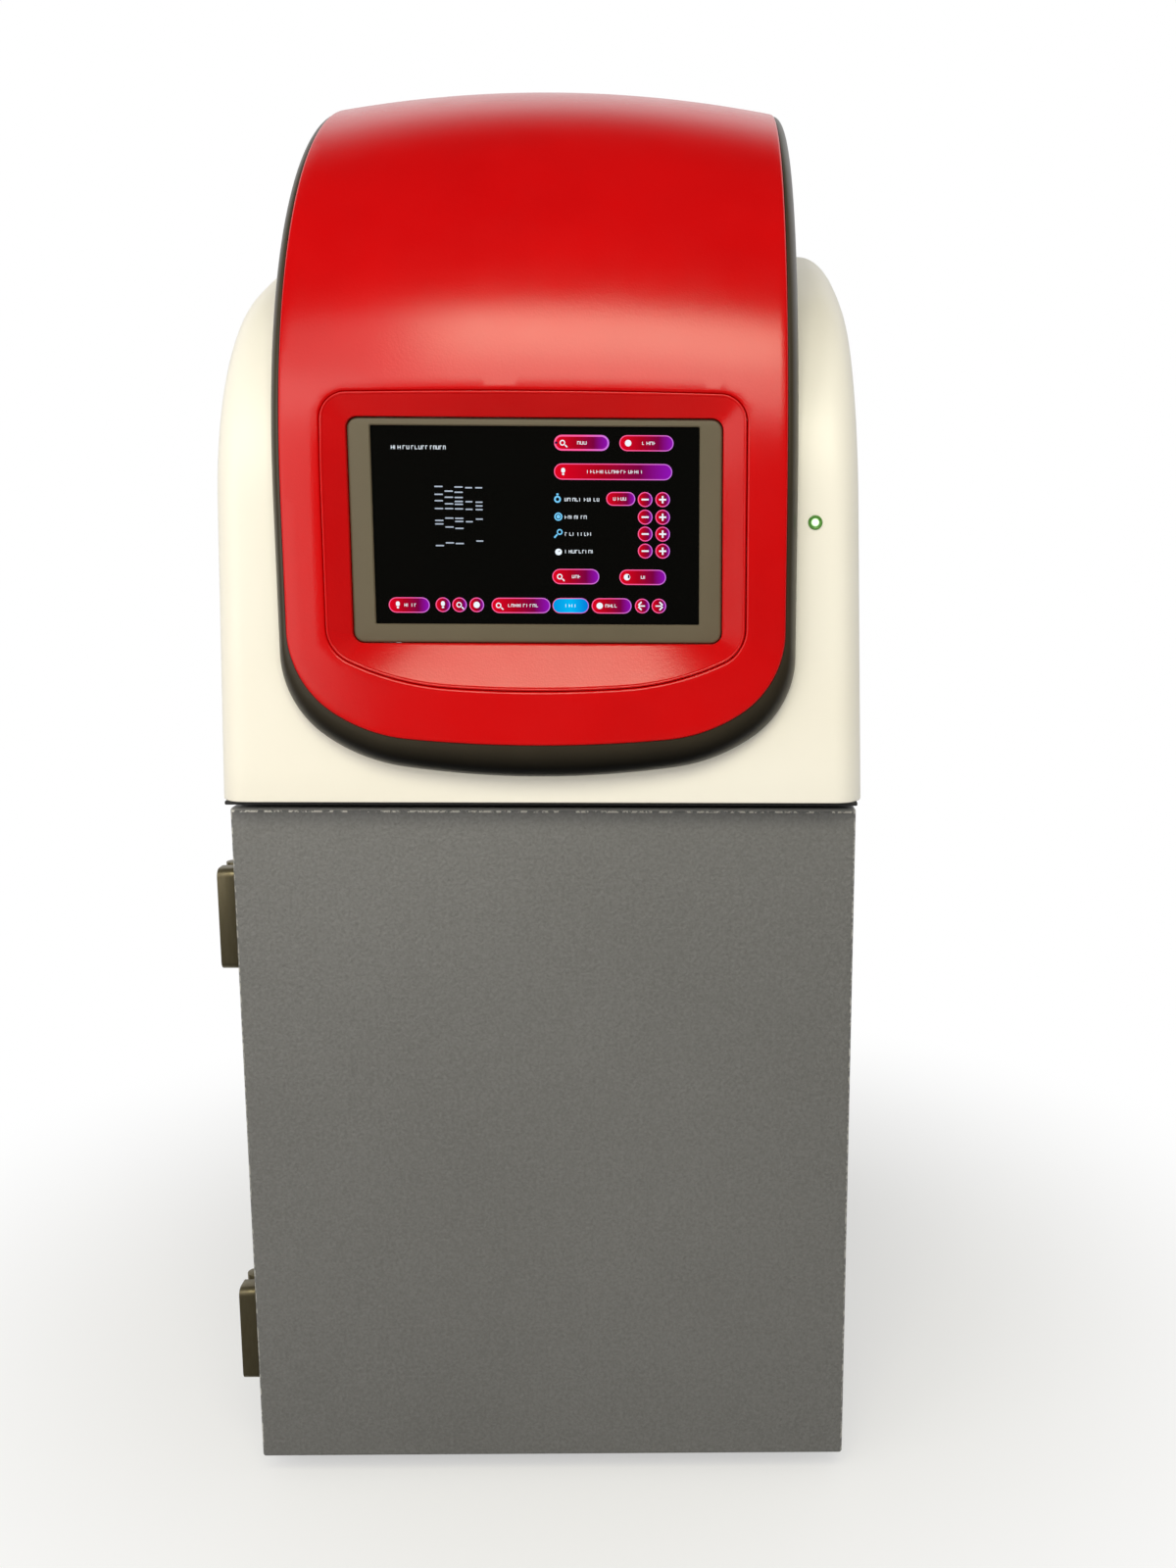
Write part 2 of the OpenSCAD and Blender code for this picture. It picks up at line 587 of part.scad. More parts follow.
module display_glass() color("#050507")
    along_y(bezel_y + 1.5, bezel_y + 3.5)
        rounded([-bezel_half + 2.5, bezel_z0 + 2.2], [bezel_half - 2.5, bezel_z0 + bezel_h - 2], 3);
module display_module() color("#20242a") {
    along_y(bezel_y + 3.5, bezel_y + 12)
        rounded([-bezel_half + 3, bezel_z0 + 3], [bezel_half - 3, bezel_z0 + bezel_h - 3], 2);
    box([-40, bezel_y + 12, 480], [40, bezel_y + 18, 530]);
}

led_x = 131;
led_z = 507;
module led_bezel() color("#9a9a92")
    translate([led_x, hood_front - 0.8, led_z]) rotate([-90, 0, 0]) difference() {
        union() {
            cylinder(r = 3.5, h = 0.8, $fn = 48);
            cylinder(r = 2.6, h = 8, $fn = 48);
        }
        translate([0, 0, -1]) cylinder(r = 2, h = 12, $fn = 48);
    }
module status_led() color("#50d060")
    translate([led_x, hood_front - 1.2, led_z]) rotate([-90, 0, 0]) {
        cylinder(r1 = 1.2, r2 = 2, h = 0.8, $fn = 48);
        translate([0, 0, 0.8]) cylinder(r = 2, h = 8, $fn = 48);
    }

// ---------- camera and motorised lens ----------

bracket_y = axis_y + 42;
module camera_bracket() color("silver") difference() {
    union() {
        box([-38, bracket_y, hood_z], [38, bracket_y + 3, shelf_z + 60]);
        box([-38, bracket_y + 3, hood_z], [38, bracket_y + 32, hood_z + 3]);
        box([-38, axis_y - 30, shelf_z], [38, bracket_y, shelf_z + 3]);
        both_sides() along_x(35, 38)
            polygon([[bracket_y - 30, shelf_z + 3], [bracket_y, shelf_z + 3], [bracket_y, shelf_z + 33]]);
    }
    translate([0, axis_y, shelf_z - 1]) cylinder(r = 16, h = 5, $fn = 64);
}
module camera_body() color("#202226") {
    box([-30, axis_y - 28, shelf_z + 6], [30, axis_y + 28, shelf_z + 58]);
    translate([0, axis_y, shelf_z + 3]) cylinder(r = 21, h = 3, $fn = 64);
    for (i = [0 : 5])
        box([-28 + 10 * i, axis_y - 26, shelf_z + 58], [-24 + 10 * i, axis_y + 26, shelf_z + 66]);
}

module lens_barrel() color("#101012") translate([0, axis_y, 0]) {
    difference() {
        union() {
            translate([0, 0, lens_z]) cylinder(r = 34, h = barrel_foot - 0.3, $fn = 96);
            translate([0, 0, lens_z]) cylinder(r = seat_r, h = ring_z[2] + ring_h - lens_z, $fn = 96);
            for (z = ring_z) translate([0, 0, z + ring_h + 0.3])
                cylinder(r = 33, h = ring_gap - 0.6, $fn = 96);
            translate([0, 0, ring_z[2] + ring_h])
                cylinder(r = 16, h = shelf_z + 3 - ring_z[2] - ring_h, $fn = 64);
        }
        translate([0, 0, lens_z - 1]) cylinder(r1 = 31, r2 = 24, h = 9, $fn = 96);
    }
    // front glass element
    translate([0, 0, lens_z + 5]) cylinder(r = 24.4, h = 3, $fn = 96);
}

// A gear drawing with straight-flanked teeth; the first tooth, or gap, points along +X.
addendum = 0.75;
dedendum = 0.95;
flank = 0.364;
slack = 0.44;
function gear_points(teeth, start) =
    let (rp = gear_mod * teeth / 2, ra = rp + addendum * gear_mod, rf = rp - dedendum * gear_mod,
         half = slack * PI * gear_mod / 2,
         tip = (half - addendum * gear_mod * flank) / ra * 180 / PI,
         root = (half + dedendum * gear_mod * flank) / rf * 180 / PI)
    [for (i = [0 : teeth - 1]) let (t = start + i * 360 / teeth)
        each [rf * [cos(t - root), sin(t - root)], ra * [cos(t - tip), sin(t - tip)],
              ra * [cos(t + tip), sin(t + tip)], rf * [cos(t + root), sin(t + root)]]];
module lens_ring(k) translate([0, axis_y, ring_z[k]]) difference() {
    linear_extrude(ring_h - 0.2) polygon(gear_points(ring_teeth, motor_az[k]));
    translate([0, 0, -1]) cylinder(r = seat_r + fit, h = ring_h + 2, $fn = 96);
}
module pinion(k) translate([motor_d * cos(motor_az[k]), axis_y + motor_d * sin(motor_az[k]), ring_z[k]])
    difference() {
        linear_extrude(ring_h - 0.2)
            polygon(gear_points(pinion_teeth, motor_az[k] + 180 + 180 / pinion_teeth));
        translate([0, 0, -1]) cylinder(r = shaft_r + fit, h = ring_h + 2, $fn = 48);
    }
module focus_ring() color("#1a1a1a") lens_ring(0);
module zoom_ring() color("#1a1a1a") lens_ring(1);
module iris_ring() color("#1a1a1a") lens_ring(2);
module focus_pinion() color("gold") pinion(0);
module zoom_pinion() color("gold") pinion(1);
module iris_pinion() color("gold") pinion(2);

module lens_motors() color("#b8b8bc")
    for (k = [0 : 2]) translate([0, axis_y, ring_z[k] + ring_h + 0.3]) rotate([0, 0, motor_az[k]]) {
        arm = ring_gap - 0.6;
        difference() {
            box([33, -6, 0], [motor_d, 6, arm]);
            translate([0, 0, -1]) cylinder(r = 33, h = 10, $fn = 96);
        }
        translate([motor_d, 0, 0]) {
            cylinder(r = 7, h = arm + 20, $fn = 48);
            translate([0, 0, -ring_h]) cylinder(r = shaft_r, h = ring_h + 1, $fn = 48);
        }
    }

// ---------- electronics ----------

module main_board() color("#1c5a34") {
    box([52, -70, hood_z + 10], [140, 90, hood_z + 11.6]);
    for (x = [58, 134]) for (y = [-64, 84]) translate([x, y, hood_z]) cylinder(r = 3, h = 10, $fn = 24);
    box([70, -30, hood_z + 11.6], [110, 10, hood_z + 22]);
    for (i = [0 : 6]) box([71 + 6 * i, -29, hood_z + 22], [73 + 6 * i, 9, hood_z + 34]);
    box([60, 40, hood_z + 11.6], [130, 46, hood_z + 30]);
}
module power_supply() color("silver") difference() {
    box([-140, 20, hood_z], [-60, 190, hood_z + 24]);
    for (i = [0 : 9]) box([-130, 34 + 14 * i, hood_z + 20], [-70, 38 + 14 * i, hood_z + 25]);
}

fan_back = cover_y - 1;
module fan_frame() color("#151515") translate([fan_x, fan_back, fan_z]) {
    rotate([90, 0, 0]) difference() {
        linear_extrude(15) rounded([-fan_half, -fan_half], [fan_half, fan_half], 4);
        translate([0, 0, -1]) cylinder(r = 28.5, h = 20, $fn = 96);
        for (x = [-25, 25]) for (y = [-25, 25]) translate([x, y, -1]) cylinder(r = 2.1, h = 20, $fn = 24);
    }
    // rear hub, spokes and spindle
    rotate([90, 0, 0]) {
        cylinder(r = 11, h = 2, $fn = 64);
        for (a = [0 : 90 : 270]) rotate([0, 0, a]) translate([6, -2, 0.2]) cube([23.5, 4, 1.6]);
        translate([0, 0, 1]) cylinder(r = 2, h = 11, $fn = 48);
    }
}
blades = 7;
module fan_rotor() color("#202020") translate([fan_x, fan_back, fan_z]) rotate([90, 0, 0]) difference() {
    union() {
        translate([0, 0, 3]) cylinder(r = 11, h = 10, $fn = 64);
        intersection() {
            for (i = [0 : blades - 1]) rotate([0, 0, i * 360 / blades]) translate([18, 0, 8])
                rotate([38, 0, 0]) cube([19, 1.4, 11], center = true);
            translate([0, 0, 3.2]) cylinder(r = 27.6, h = 9.6, $fn = 96);
        }
    }
    translate([0, 0, 0]) cylinder(r = 2 + fit, h = 12.5, $fn = 48);
}

// Flat sheet that closes the back of the hood and the spine above it.
cover_half = hood_w / 2 - 9.2;
cover_shoulder = 584.8;
spine_half = visor_w / 2 - 5.2;
spine_top = visor_edge_z(cover_y) - 7;
spine_crown = 11;
module rear_cover() color("#4a4c50") difference() {
    along_y(cover_y - 1, cover_y + 0.5) polygon(concat(
        [[cover_half, hood_z], [cover_half, cover_shoulder], [spine_half, cover_shoulder]],
        [for (i = [10 : -1 : -10]) [spine_half * i / 10, spine_top + spine_crown * (1 - i * i / 100)]],
        [[-spine_half, cover_shoulder], [-cover_half, cover_shoulder], [-cover_half, hood_z]]));
    // fan grille: rings of slots between spokes
    translate([fan_x, cover_y + 2, fan_z]) rotate([90, 0, 0]) for (r = [7 : 5 : 27]) difference() {
        cylinder(r = r, h = 6, $fn = 64);
        translate([0, 0, -1]) cylinder(r = r - 3, h = 8, $fn = 64);
        for (a = [0, 90]) rotate([0, 0, a]) translate([-30, -1.5, -1]) cube([60, 3, 8]);
    }
    for (i = [0 : 8]) along_y(cover_y - 2, cover_y + 2)
        rounded([-60 + 12 * i, 600], [-54 + 12 * i, 640], 2.9);
    for (i = [0 : 8]) along_y(cover_y - 2, cover_y + 2)
        rounded([-132 + 10 * i, 490], [-127 + 10 * i, 560], 2.4);
    along_y(cover_y - 2, cover_y + 2) rounded([inlet_x - 24, inlet_z - 14], [inlet_x + 24, inlet_z + 14], 2);
    along_y(cover_y - 2, cover_y + 2)
        rounded([inlet_x - 15, rocker_z - 11], [inlet_x + 15, rocker_z + 11], 1);
    along_y(cover_y - 2, cover_y + 2) rounded([ports_x - 30, ports_z - 9], [ports_x + 30, ports_z + 9], 1);
}
module mains_inlet() color("#121212") difference() {
    union() {
        along_y(cover_y - 28, cover_y + 0.5)
            rounded([inlet_x - 24, inlet_z - 14], [inlet_x + 24, inlet_z + 14], 2);
        along_y(cover_y + 0.5, cover_y + 3)
            rounded([inlet_x - 26, inlet_z - 16], [inlet_x + 26, inlet_z + 16], 3);
    }
    along_y(cover_y - 14, cover_y + 4) translate([inlet_x, inlet_z])
        polygon([[-12, -8.5], [12, -8.5], [12, 4], [8, 8.5], [-8, 8.5], [-12, 4]]);
}
rocker_y = cover_y - 5;
module switch_housing() color("#121212") difference() {
    union() {
        along_y(cover_y - 16, cover_y + 0.5)
            rounded([inlet_x - 15, rocker_z - 11], [inlet_x + 15, rocker_z + 11], 1);
        along_y(cover_y + 0.5, cover_y + 2.5)
            rounded([inlet_x - 17, rocker_z - 13], [inlet_x + 17, rocker_z + 13], 2);
    }
    box([inlet_x - 12, cover_y - 12, rocker_z - 9], [inlet_x + 12, cover_y + 4, rocker_z + 9]);
    translate([inlet_x - 14, rocker_y, rocker_z]) rotate([0, 90, 0])
        cylinder(r = 1.5 + fit, h = 28, $fn = 48);
}
module power_rocker() color("#1a1a1a") {
    translate([inlet_x - 11.6, rocker_y, rocker_z]) rotate([8, 0, 0]) rotate([90, 0, 90]) linear_extrude(23.2)
        polygon([[-2, -7], [5.6, -7.6], [4.4, 0], [5.6, 7.6], [-2, 7]]);
    translate([inlet_x - 13.5, rocker_y, rocker_z]) rotate([0, 90, 0]) cylinder(r = 1.5, h = 27, $fn = 48);
}
module data_ports() color("silver") difference() {
    union() {
        along_y(cover_y - 18, cover_y + 0.5)
            rounded([ports_x - 30, ports_z - 9], [ports_x + 30, ports_z + 9], 1);
        along_y(cover_y + 0.5, cover_y + 1.5)
            rounded([ports_x - 32, ports_z - 11], [ports_x + 32, ports_z + 11], 1);
    }
    for (x = [-24, -8]) for (z = [-6.5, 1]) box([ports_x + x, cover_y - 12, ports_z + z],
                                                [ports_x + x + 13, cover_y + 2, ports_z + z + 5.5]);
    box([ports_x + 10, cover_y - 14, ports_z - 6], [ports_x + 25, cover_y + 2, ports_z + 6]);
}

// ---------- drawing ----------

side_panel_left();
side_panel_right();
back_panel();
base_pan();
roof_plate();
front_frame();
feet();
door_seal();
hinge_body_leaves();
hinge_pins();
magnetic_catch();
interlock_switch();
slide_rails_outer();
epi_light_bars();
epi_diffusers();
filter_guides();
hood_base();
hood_shell();
visor_trim();
visor();
screen_surround();
screen_bezel();
display_glass();
display_module();
led_bezel();
status_led();
camera_bracket();
camera_body();
lens_barrel();
lens_motors();
main_board();
power_supply();
fan_frame();
rear_cover();
mains_inlet();
switch_housing();
data_ports();
door_skin();
door_liner();
hinge_door_leaves();
strike_plate();
tray();
slide_rails_inner();
transilluminator_case();
filter_frame();
uv_filter_glass();
uv_tubes();
tube_holders();
tray_handle();
filter_holder();
emission_filter();
focus_ring();
zoom_ring();
iris_ring();
focus_pinion();
zoom_pinion();
iris_pinion();
fan_rotor();
power_rocker();
interlock_plunger();
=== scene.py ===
# %% [markdown]
# # Dressing a gel documentation system
# The instrument is a grey darkroom cabinet with a hinged door. A cream hood stands on it and carries
# a red visor with a touch screen. The construction comes packed as a fixed frame, in metres,
# with the front facing -Y. This lesson adds what a camera sees: moulded skins with soft edges,
# paint with its grain, a lit screen, screws, lamps and a white sweep to stand on.
# Loading the frame is the first step, because every later piece takes its place from it.

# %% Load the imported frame
import json
import math
import random

import bmesh
import bpy
import numpy as np
from mathutils import Matrix, Vector
from mathutils.geometry import delaunay_2d_cdt


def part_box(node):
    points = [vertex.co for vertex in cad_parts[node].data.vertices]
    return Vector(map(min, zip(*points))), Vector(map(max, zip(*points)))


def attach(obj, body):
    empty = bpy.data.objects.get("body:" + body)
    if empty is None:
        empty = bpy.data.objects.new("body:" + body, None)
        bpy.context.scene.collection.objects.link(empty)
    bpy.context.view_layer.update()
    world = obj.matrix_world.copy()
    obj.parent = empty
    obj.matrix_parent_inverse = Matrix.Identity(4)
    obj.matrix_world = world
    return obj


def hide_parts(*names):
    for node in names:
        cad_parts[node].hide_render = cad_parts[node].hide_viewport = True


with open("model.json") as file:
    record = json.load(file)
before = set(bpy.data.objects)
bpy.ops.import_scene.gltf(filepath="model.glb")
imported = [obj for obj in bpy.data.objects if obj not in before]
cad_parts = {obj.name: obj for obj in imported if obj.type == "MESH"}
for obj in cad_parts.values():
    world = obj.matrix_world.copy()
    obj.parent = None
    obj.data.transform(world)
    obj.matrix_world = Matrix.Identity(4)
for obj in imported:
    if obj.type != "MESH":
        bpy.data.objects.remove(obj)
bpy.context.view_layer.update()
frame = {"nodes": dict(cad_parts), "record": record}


# %% [markdown]
# ## Measures
# Blender counts in metres, but an instrument like this is drawn in millimetres.
# The helpers below give a node's corners in millimetres, so the numbers in each cell
# read as they would on a workshop drawing. A mesh is scaled once, when it is made.

# %% Millimetres
MM = 0.001


def box_mm(node):
    low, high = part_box(node)
    return np.array(low) / MM, np.array(high) / MM


def in_metres(corners):
    return [[value * MM for value in corner] for corner in corners]


def put_in_scene(name, data):
    made = bpy.data.objects.new(name, data)
    bpy.context.scene.collection.objects.link(made)
    return made


hood_low, hood_high = box_mm("hood_shell")
visor_low, visor_high = box_mm("visor")
trim_low, trim_high = box_mm("visor_trim")
door_low, door_high = box_mm("door_skin")
bezel_low, bezel_high = box_mm("screen_bezel")
print("hood width", hood_high[0] - hood_low[0], "mm, door height", door_high[2] - door_low[2], "mm")

# %% [markdown]
# ## Camera
# A close view makes a tall object taper, so the lens and the distance matter as much as the angle.
# The camera stands a little to the right of the middle, level with the screen, and looks down
# by about ten degrees. A small sideways shift frames the object without turning the camera.

# %% Camera
IMAGE_LONG_SIDE = 1600
FOCAL_PIXELS = 1500
SENSOR = 36
PRINCIPAL_OFFSET = 127.7
CAMERA_AT = Vector((0.0698, -0.9142, 0.5025))
YAW, PITCH, ROLL = (math.radians(angle) for angle in (1.109, 9.742, 0.312))


def camera_axes(yaw, pitch, roll):
    ahead = Vector((math.sin(yaw) * math.cos(pitch), math.cos(yaw) * math.cos(pitch), -math.sin(pitch)))
    level = Vector((math.cos(yaw), -math.sin(yaw), 0))
    above = level.cross(ahead)
    right = math.cos(roll) * level + math.sin(roll) * above
    up = math.cos(roll) * above - math.sin(roll) * level
    return right, up, -ahead


lens = bpy.data.cameras.new("studio_camera")
lens.sensor_width = SENSOR
lens.lens = FOCAL_PIXELS / IMAGE_LONG_SIDE * SENSOR
lens.shift_x = -PRINCIPAL_OFFSET / IMAGE_LONG_SIDE
camera = put_in_scene("studio_camera", lens)
turned = Matrix(camera_axes(YAW, PITCH, ROLL)).transposed().to_4x4()
camera.matrix_world = Matrix.Translation(CAMERA_AT) @ turned
bpy.context.scene.camera = camera
bpy.context.scene.view_settings.view_transform = "Standard"
print("lens", lens.lens, "mm, shift", round(lens.shift_x, 4))

# %% [markdown]
# ## Node trees as formulas
# Shader and geometry trees are easier to read when they look like arithmetic.
# `Wire` wraps one output socket, and +, -, *, > and < on it add Math nodes.
# `Graph.node` is the only way any other node is made: it takes the node's type, its settings,
# which are set first, and then the values or wires for its inputs.

# %% Wires and graphs
class Wire:
    """One output socket, on which arithmetic adds Math nodes."""

    def __init__(self, graph, socket):
        self.graph = graph
        self.socket = socket

    def maths(self, operation, *values):
        return self.graph.node("ShaderNodeMath", {"operation": operation}, values)

    def __add__(self, other):
        return self.maths("ADD", self, other)

    def __sub__(self, other):
        return self.maths("SUBTRACT", self, other)

    def __rsub__(self, other):
        return self.maths("SUBTRACT", other, self)

    def __mul__(self, other):
        return self.maths("MULTIPLY", self, other)

    def __gt__(self, other):
        return self.maths("GREATER_THAN", self, other)

    def __lt__(self, other):
        return self.maths("LESS_THAN", self, other)

    __radd__ = __add__
    __rmul__ = __mul__


class Graph:
    """A node tree whose nodes all come from one method."""

    def __init__(self, tree):
        self.tree = tree

    def plug(self, socket, value):
        if isinstance(value, Wire):
            self.tree.links.new(value.socket, socket)
        else:
            socket.default_value = value

    def node(self, kind, settings=None, inputs=(), output=0):
        made = self.tree.nodes.new(kind)
        for name, value in (settings or {}).items():
            if name == "stops":
                self.set_stops(made.color_ramp, value)
            else:
                setattr(made, name, value)
        pairs = inputs.items() if isinstance(inputs, dict) else enumerate(inputs)
        for key, value in pairs:
            self.plug(made.inputs[key], value)
        return Wire(self, made.outputs[output])

    def rise(self, value, start, end):
        """A smooth step from 0 to 1 between two values."""
        return self.node("ShaderNodeMapRange", {"interpolation_type": "SMOOTHSTEP"}, [
            value, start, end, 0.0, 1.0])

    def set_stops(self, ramp, stops):
        while len(ramp.elements) < len(stops):
            ramp.elements.new(1)
        for element, (position, colour) in zip(ramp.elements, stops):
            element.position = position
            element.color = colour


print("wires and graphs are ready")

# %% [markdown]
# ## Finishes
# A finish is one material. On top of a graph it knows a few things that every paint shop needs:
# the place on the object, a noise, a pattern of cells, a mix of two paints, and a bump.
# Patterns use Object coordinates, which are metres on the instrument itself,
# so a grain of one millimetre is a noise with a scale of about one thousand.

# %% The finish class
def paint(red, green, blue):
    """A colour given as screen values from 0 to 255, as linear light."""
    def linear(value):
        value /= 255
        return value / 12.92 if value <= 0.04045 else ((value + 0.055) / 1.055) ** 2.4
    return (linear(red), linear(green), linear(blue), 1)


class Finish(Graph):
    """A material with one Principled shader."""

    def __init__(self, name):
        self.material = bpy.data.materials.new(name)
        self.material.use_nodes = True
        super().__init__(self.material.node_tree)
        self.shader = self.tree.nodes["Principled BSDF"]

    def surface(self, values):
        for name, value in values.items():
            self.plug(self.shader.inputs[name], value)
        return self

    def place(self):
        return self.node("ShaderNodeTexCoord", output="Object")

    def axis(self, letter):
        return self.node("ShaderNodeSeparateXYZ", inputs=[self.place()], output=letter)

    def noise(self, scale, detail=2.0, roughness=0.5, warp=0.0):
        return self.node("ShaderNodeTexNoise", inputs={
            "Vector": self.place(), "Scale": scale, "Detail": detail, "Roughness": roughness,
            "Distortion": warp})

    def cells(self, scale, smooth=0.4):
        return self.node("ShaderNodeTexVoronoi", {"feature": "SMOOTH_F1"}, {
            "Vector": self.place(), "Scale": scale, "Smoothness": smooth})

    def mix(self, share, first, second):
        return self.node("ShaderNodeMix", {"data_type": "RGBA"}, {0: share, 6: first, 7: second}, 2)

    def bump(self, height, distance_mm):
        return self.node("ShaderNodeBump", inputs={"Distance": distance_mm * MM, "Height": height})


FINISHES = {}


def finish(slot, name):
    FINISHES[slot] = Finish(name)
    return FINISHES[slot]


print("a finish can be mixed")

# %% [markdown]
# ## Red moulded visor
# The visor is a vacuum-formed cover in a warm signal red. Close up it has a fine leather grain
# under a satin gloss, which breaks up the edge of every highlight. A bump of soft cells with a
# finer noise on it gives that grain, and the roughness wanders a little, as on any moulding.

# %% Red finishes
RED = paint(206, 1, 3)
RED_DEEP = paint(196, 0, 2)
GRAIN_CELLS = 950


def leather_grain(made, cell_scale, depth_mm):
    creases = made.cells(cell_scale)
    fine = made.noise(cell_scale * 1.9, 3)
    return made.bump(creases * 0.7 + fine * 0.6, depth_mm)


def red_moulding(slot, name, depth_mm, rough):
    made = finish(slot, name)
    cloud = made.noise(9, 3)
    wander = made.noise(60, 4)
    return made.surface({
        "Base Color": made.mix(made.rise(cloud, 0.35, 0.7), RED, RED_DEEP),
        "Roughness": wander * 0.06 + rough,
        "Normal": leather_grain(made, GRAIN_CELLS, depth_mm)})


red_moulding("red_moulding", "red_visor_moulding", 0.032, 0.17)
red_moulding("red_insert", "red_screen_insert", 0.045, 0.2)
print("red moulding: grain about", round(1000 / GRAIN_CELLS, 1), "mm")

# %% [markdown]
# ## Cream hood
# The hood is moulded and painted a warm cream. Its paint is smoother than the visor, with a faint
# orange peel, and it has yellowed slightly in places. Large slow noise carries the tint,
# and a shallow bump the peel.

# %% Cream finish
CREAM = paint(247, 243, 234)
CREAM_WARM = paint(243, 238, 227)
made = finish("cream_moulding", "cream_hood_paint")
PEEL = 420
tint = made.noise(5, 3)
peel = made.noise(PEEL, 2)
made.surface({
    "Base Color": made.mix(made.rise(tint, 0.4, 0.75), CREAM, CREAM_WARM),
    "Roughness": made.noise(35, 3) * 0.1 + 0.34,
    "Normal": made.bump(peel, 0.018)})
print("cream paint: orange peel about", round(1000 / PEEL, 1), "mm")

# %% [markdown]
# ## Charcoal trim
# The soft-looking bead round the visor is a dark satin plastic. Its brown-grey sheen comes partly from
# a broad highlight, so the roughness is medium and the grain very fine, and partly from painted light:
# the colour follows how far the surface faces down, a painted brown-grey sheen on the upper faces
# and painted shade, nearly black, underneath.

# %% Charcoal finish
made = finish("charcoal_trim", "charcoal_trim_plastic")
normal = made.node("ShaderNodeNewGeometry", output="Normal")
upward = made.node("ShaderNodeSeparateXYZ", inputs=[normal], output="Z")
# Painted light and shade: colour runs from nearly black on faces that look down to a lighter brown-grey on
# faces that look up.
painted_light_upward = made.rise(upward, -0.72, 0.25)
made.surface({
    "Base Color": made.mix(painted_light_upward * (made.noise(40, 3) * 0.3 + 0.8), paint(4, 3, 2), paint(64, 56, 42)),
    "Roughness": made.noise(90, 3) * 0.08 + 0.32,
    "Normal": made.bump(made.noise(1500, 2), 0.02)})
print("charcoal trim: fine grain")

# %% [markdown]
# ## Powder-coated steel
# The door and the cabinet are folded steel with a leather-textured powder coat: soft wrinkles
# one to two millimetres across. A slightly warped noise gives the wrinkles, soft cells add the
# pits between them, and the same function coats every sheet with its own two greys.

# %% Powder coat
WRINKLES = 620


def powder_coat(made, light, dark, grain_scale, depth_mm, rough):
    wrinkle = made.noise(grain_scale, 3, 0.55, 0.6)
    cloud = made.rise(made.noise(6, 4, 0.6) * 0.25 + wrinkle * 0.9, 0.34, 0.82)
    pits = made.cells(grain_scale * 0.8, 0.5)
    return {
        "Base Color": made.mix(cloud, light, dark),
        "Roughness": made.noise(grain_scale * 0.5, 2) * 0.16 + rough,
        "Normal": made.bump(wrinkle * 0.8 + pits * 0.5, depth_mm)}


made = finish("grey_powder_coat", "grey_powder_coat")
made.surface(powder_coat(made, paint(112, 111, 108), paint(102, 101, 99), WRINKLES, 0.16, 0.44))
made = finish("dark_powder_coat", "black_powder_coat")
made.surface(powder_coat(made, paint(48, 48, 50), paint(38, 38, 40), 900, 0.07, 0.5))
made = finish("case_white", "white_powder_coat")
made.surface(powder_coat(made, paint(222, 221, 214), paint(212, 211, 204), 900, 0.06, 0.4))
print("powder coats: wrinkles about", round(1000 / WRINKLES, 1), "mm")

# %% [markdown]
# ## Worn folds and painted light on the door
# Powder coat thins on a sharp fold, so the door's folded edges show small bright specks. These are partly
# real wear and partly a painted highlight where the rounded fold catches the light. The strip above the
# top fold is painted paler as painted light, as if lit from above. Specks could be placed one by one, but
# they
# follow the shape: masks are worked out from the distance to the door's top, side and front planes,
# and a noise breaks the specks up.

# %% Door coat
EDGE_WIDTH, BAND_FOOT, BAND_TOP = 1.1, 2.3, 1.3
made = finish("door_powder_coat", "grey_door_powder_coat")
coat = powder_coat(made, paint(102, 102, 102), paint(118, 118, 119), WRINKLES, 0.3, 0.38)
made.shader.inputs["Specular IOR Level"].default_value = 0.9
height = made.axis("Z")
top_edge = (height > (door_high[2] - BAND_FOOT) * MM) * (height < (door_high[2] - BAND_TOP) * MM)
right_edge = made.axis("X") > (door_high[0] - EDGE_WIDTH) * MM
left_edge = made.axis("X") < (door_low[0] + EDGE_WIDTH) * MM
front_fold = made.axis("Y") < (door_low[1] + 2 * EDGE_WIDTH) * MM
speck_breakup = made.rise(made.noise(260, 4, 0.7), 0.47, 0.56)
# Bright specks on the folds: partly wear, partly a painted highlight along the fold's rounding.
wear_and_painted_glint = (top_edge + (left_edge + right_edge) * 0.5) * front_fold * speck_breakup
# Painted light: the strip above the top fold is coloured paler, as if it faced a light.
painted_light_flange = (height > (door_high[2] - BAND_TOP) * MM) * front_fold * 0.8
coat["Base Color"] = made.mix(painted_light_flange, coat["Base Color"], paint(176, 175, 171))
coat["Base Color"] = made.mix(wear_and_painted_glint, coat["Base Color"], paint(236, 234, 226))
coat["Metallic"] = wear_and_painted_glint * 0.6
made.surface(coat)
print("door folds worn", BAND_TOP, "to", BAND_FOOT, "mm below the top")

# %% [markdown]
# ## Screen bezel, display and indicator
# The bezel is a grey-brown moulding with a spark-eroded grain. The display behind it is
# polished glass over a black panel. The indicator is a green lens that glows almost white
# in the middle: its emission falls off with the distance from its own centre. The ring round it
# is coloured green as painted glow from the lens.

# %% Bezel, glass and indicator finishes
LED_AT = (131.0, 507.0)
made = finish("bezel_grey", "bezel_moulding")
made.surface({
    "Base Color": made.mix(made.noise(30, 3), paint(96, 88, 69), paint(105, 96, 77)),
    "Roughness": made.noise(400, 2) * 0.12 + 0.42,
    "Normal": made.bump(made.noise(1300, 3), 0.03)})

made = finish("display_glass", "display_cover_glass")
made.surface({
    "Base Color": made.mix(made.noise(12, 2), paint(9, 9, 8), paint(7, 7, 6)),
    "Roughness": made.noise(25, 3) * 0.04 + 0.05})

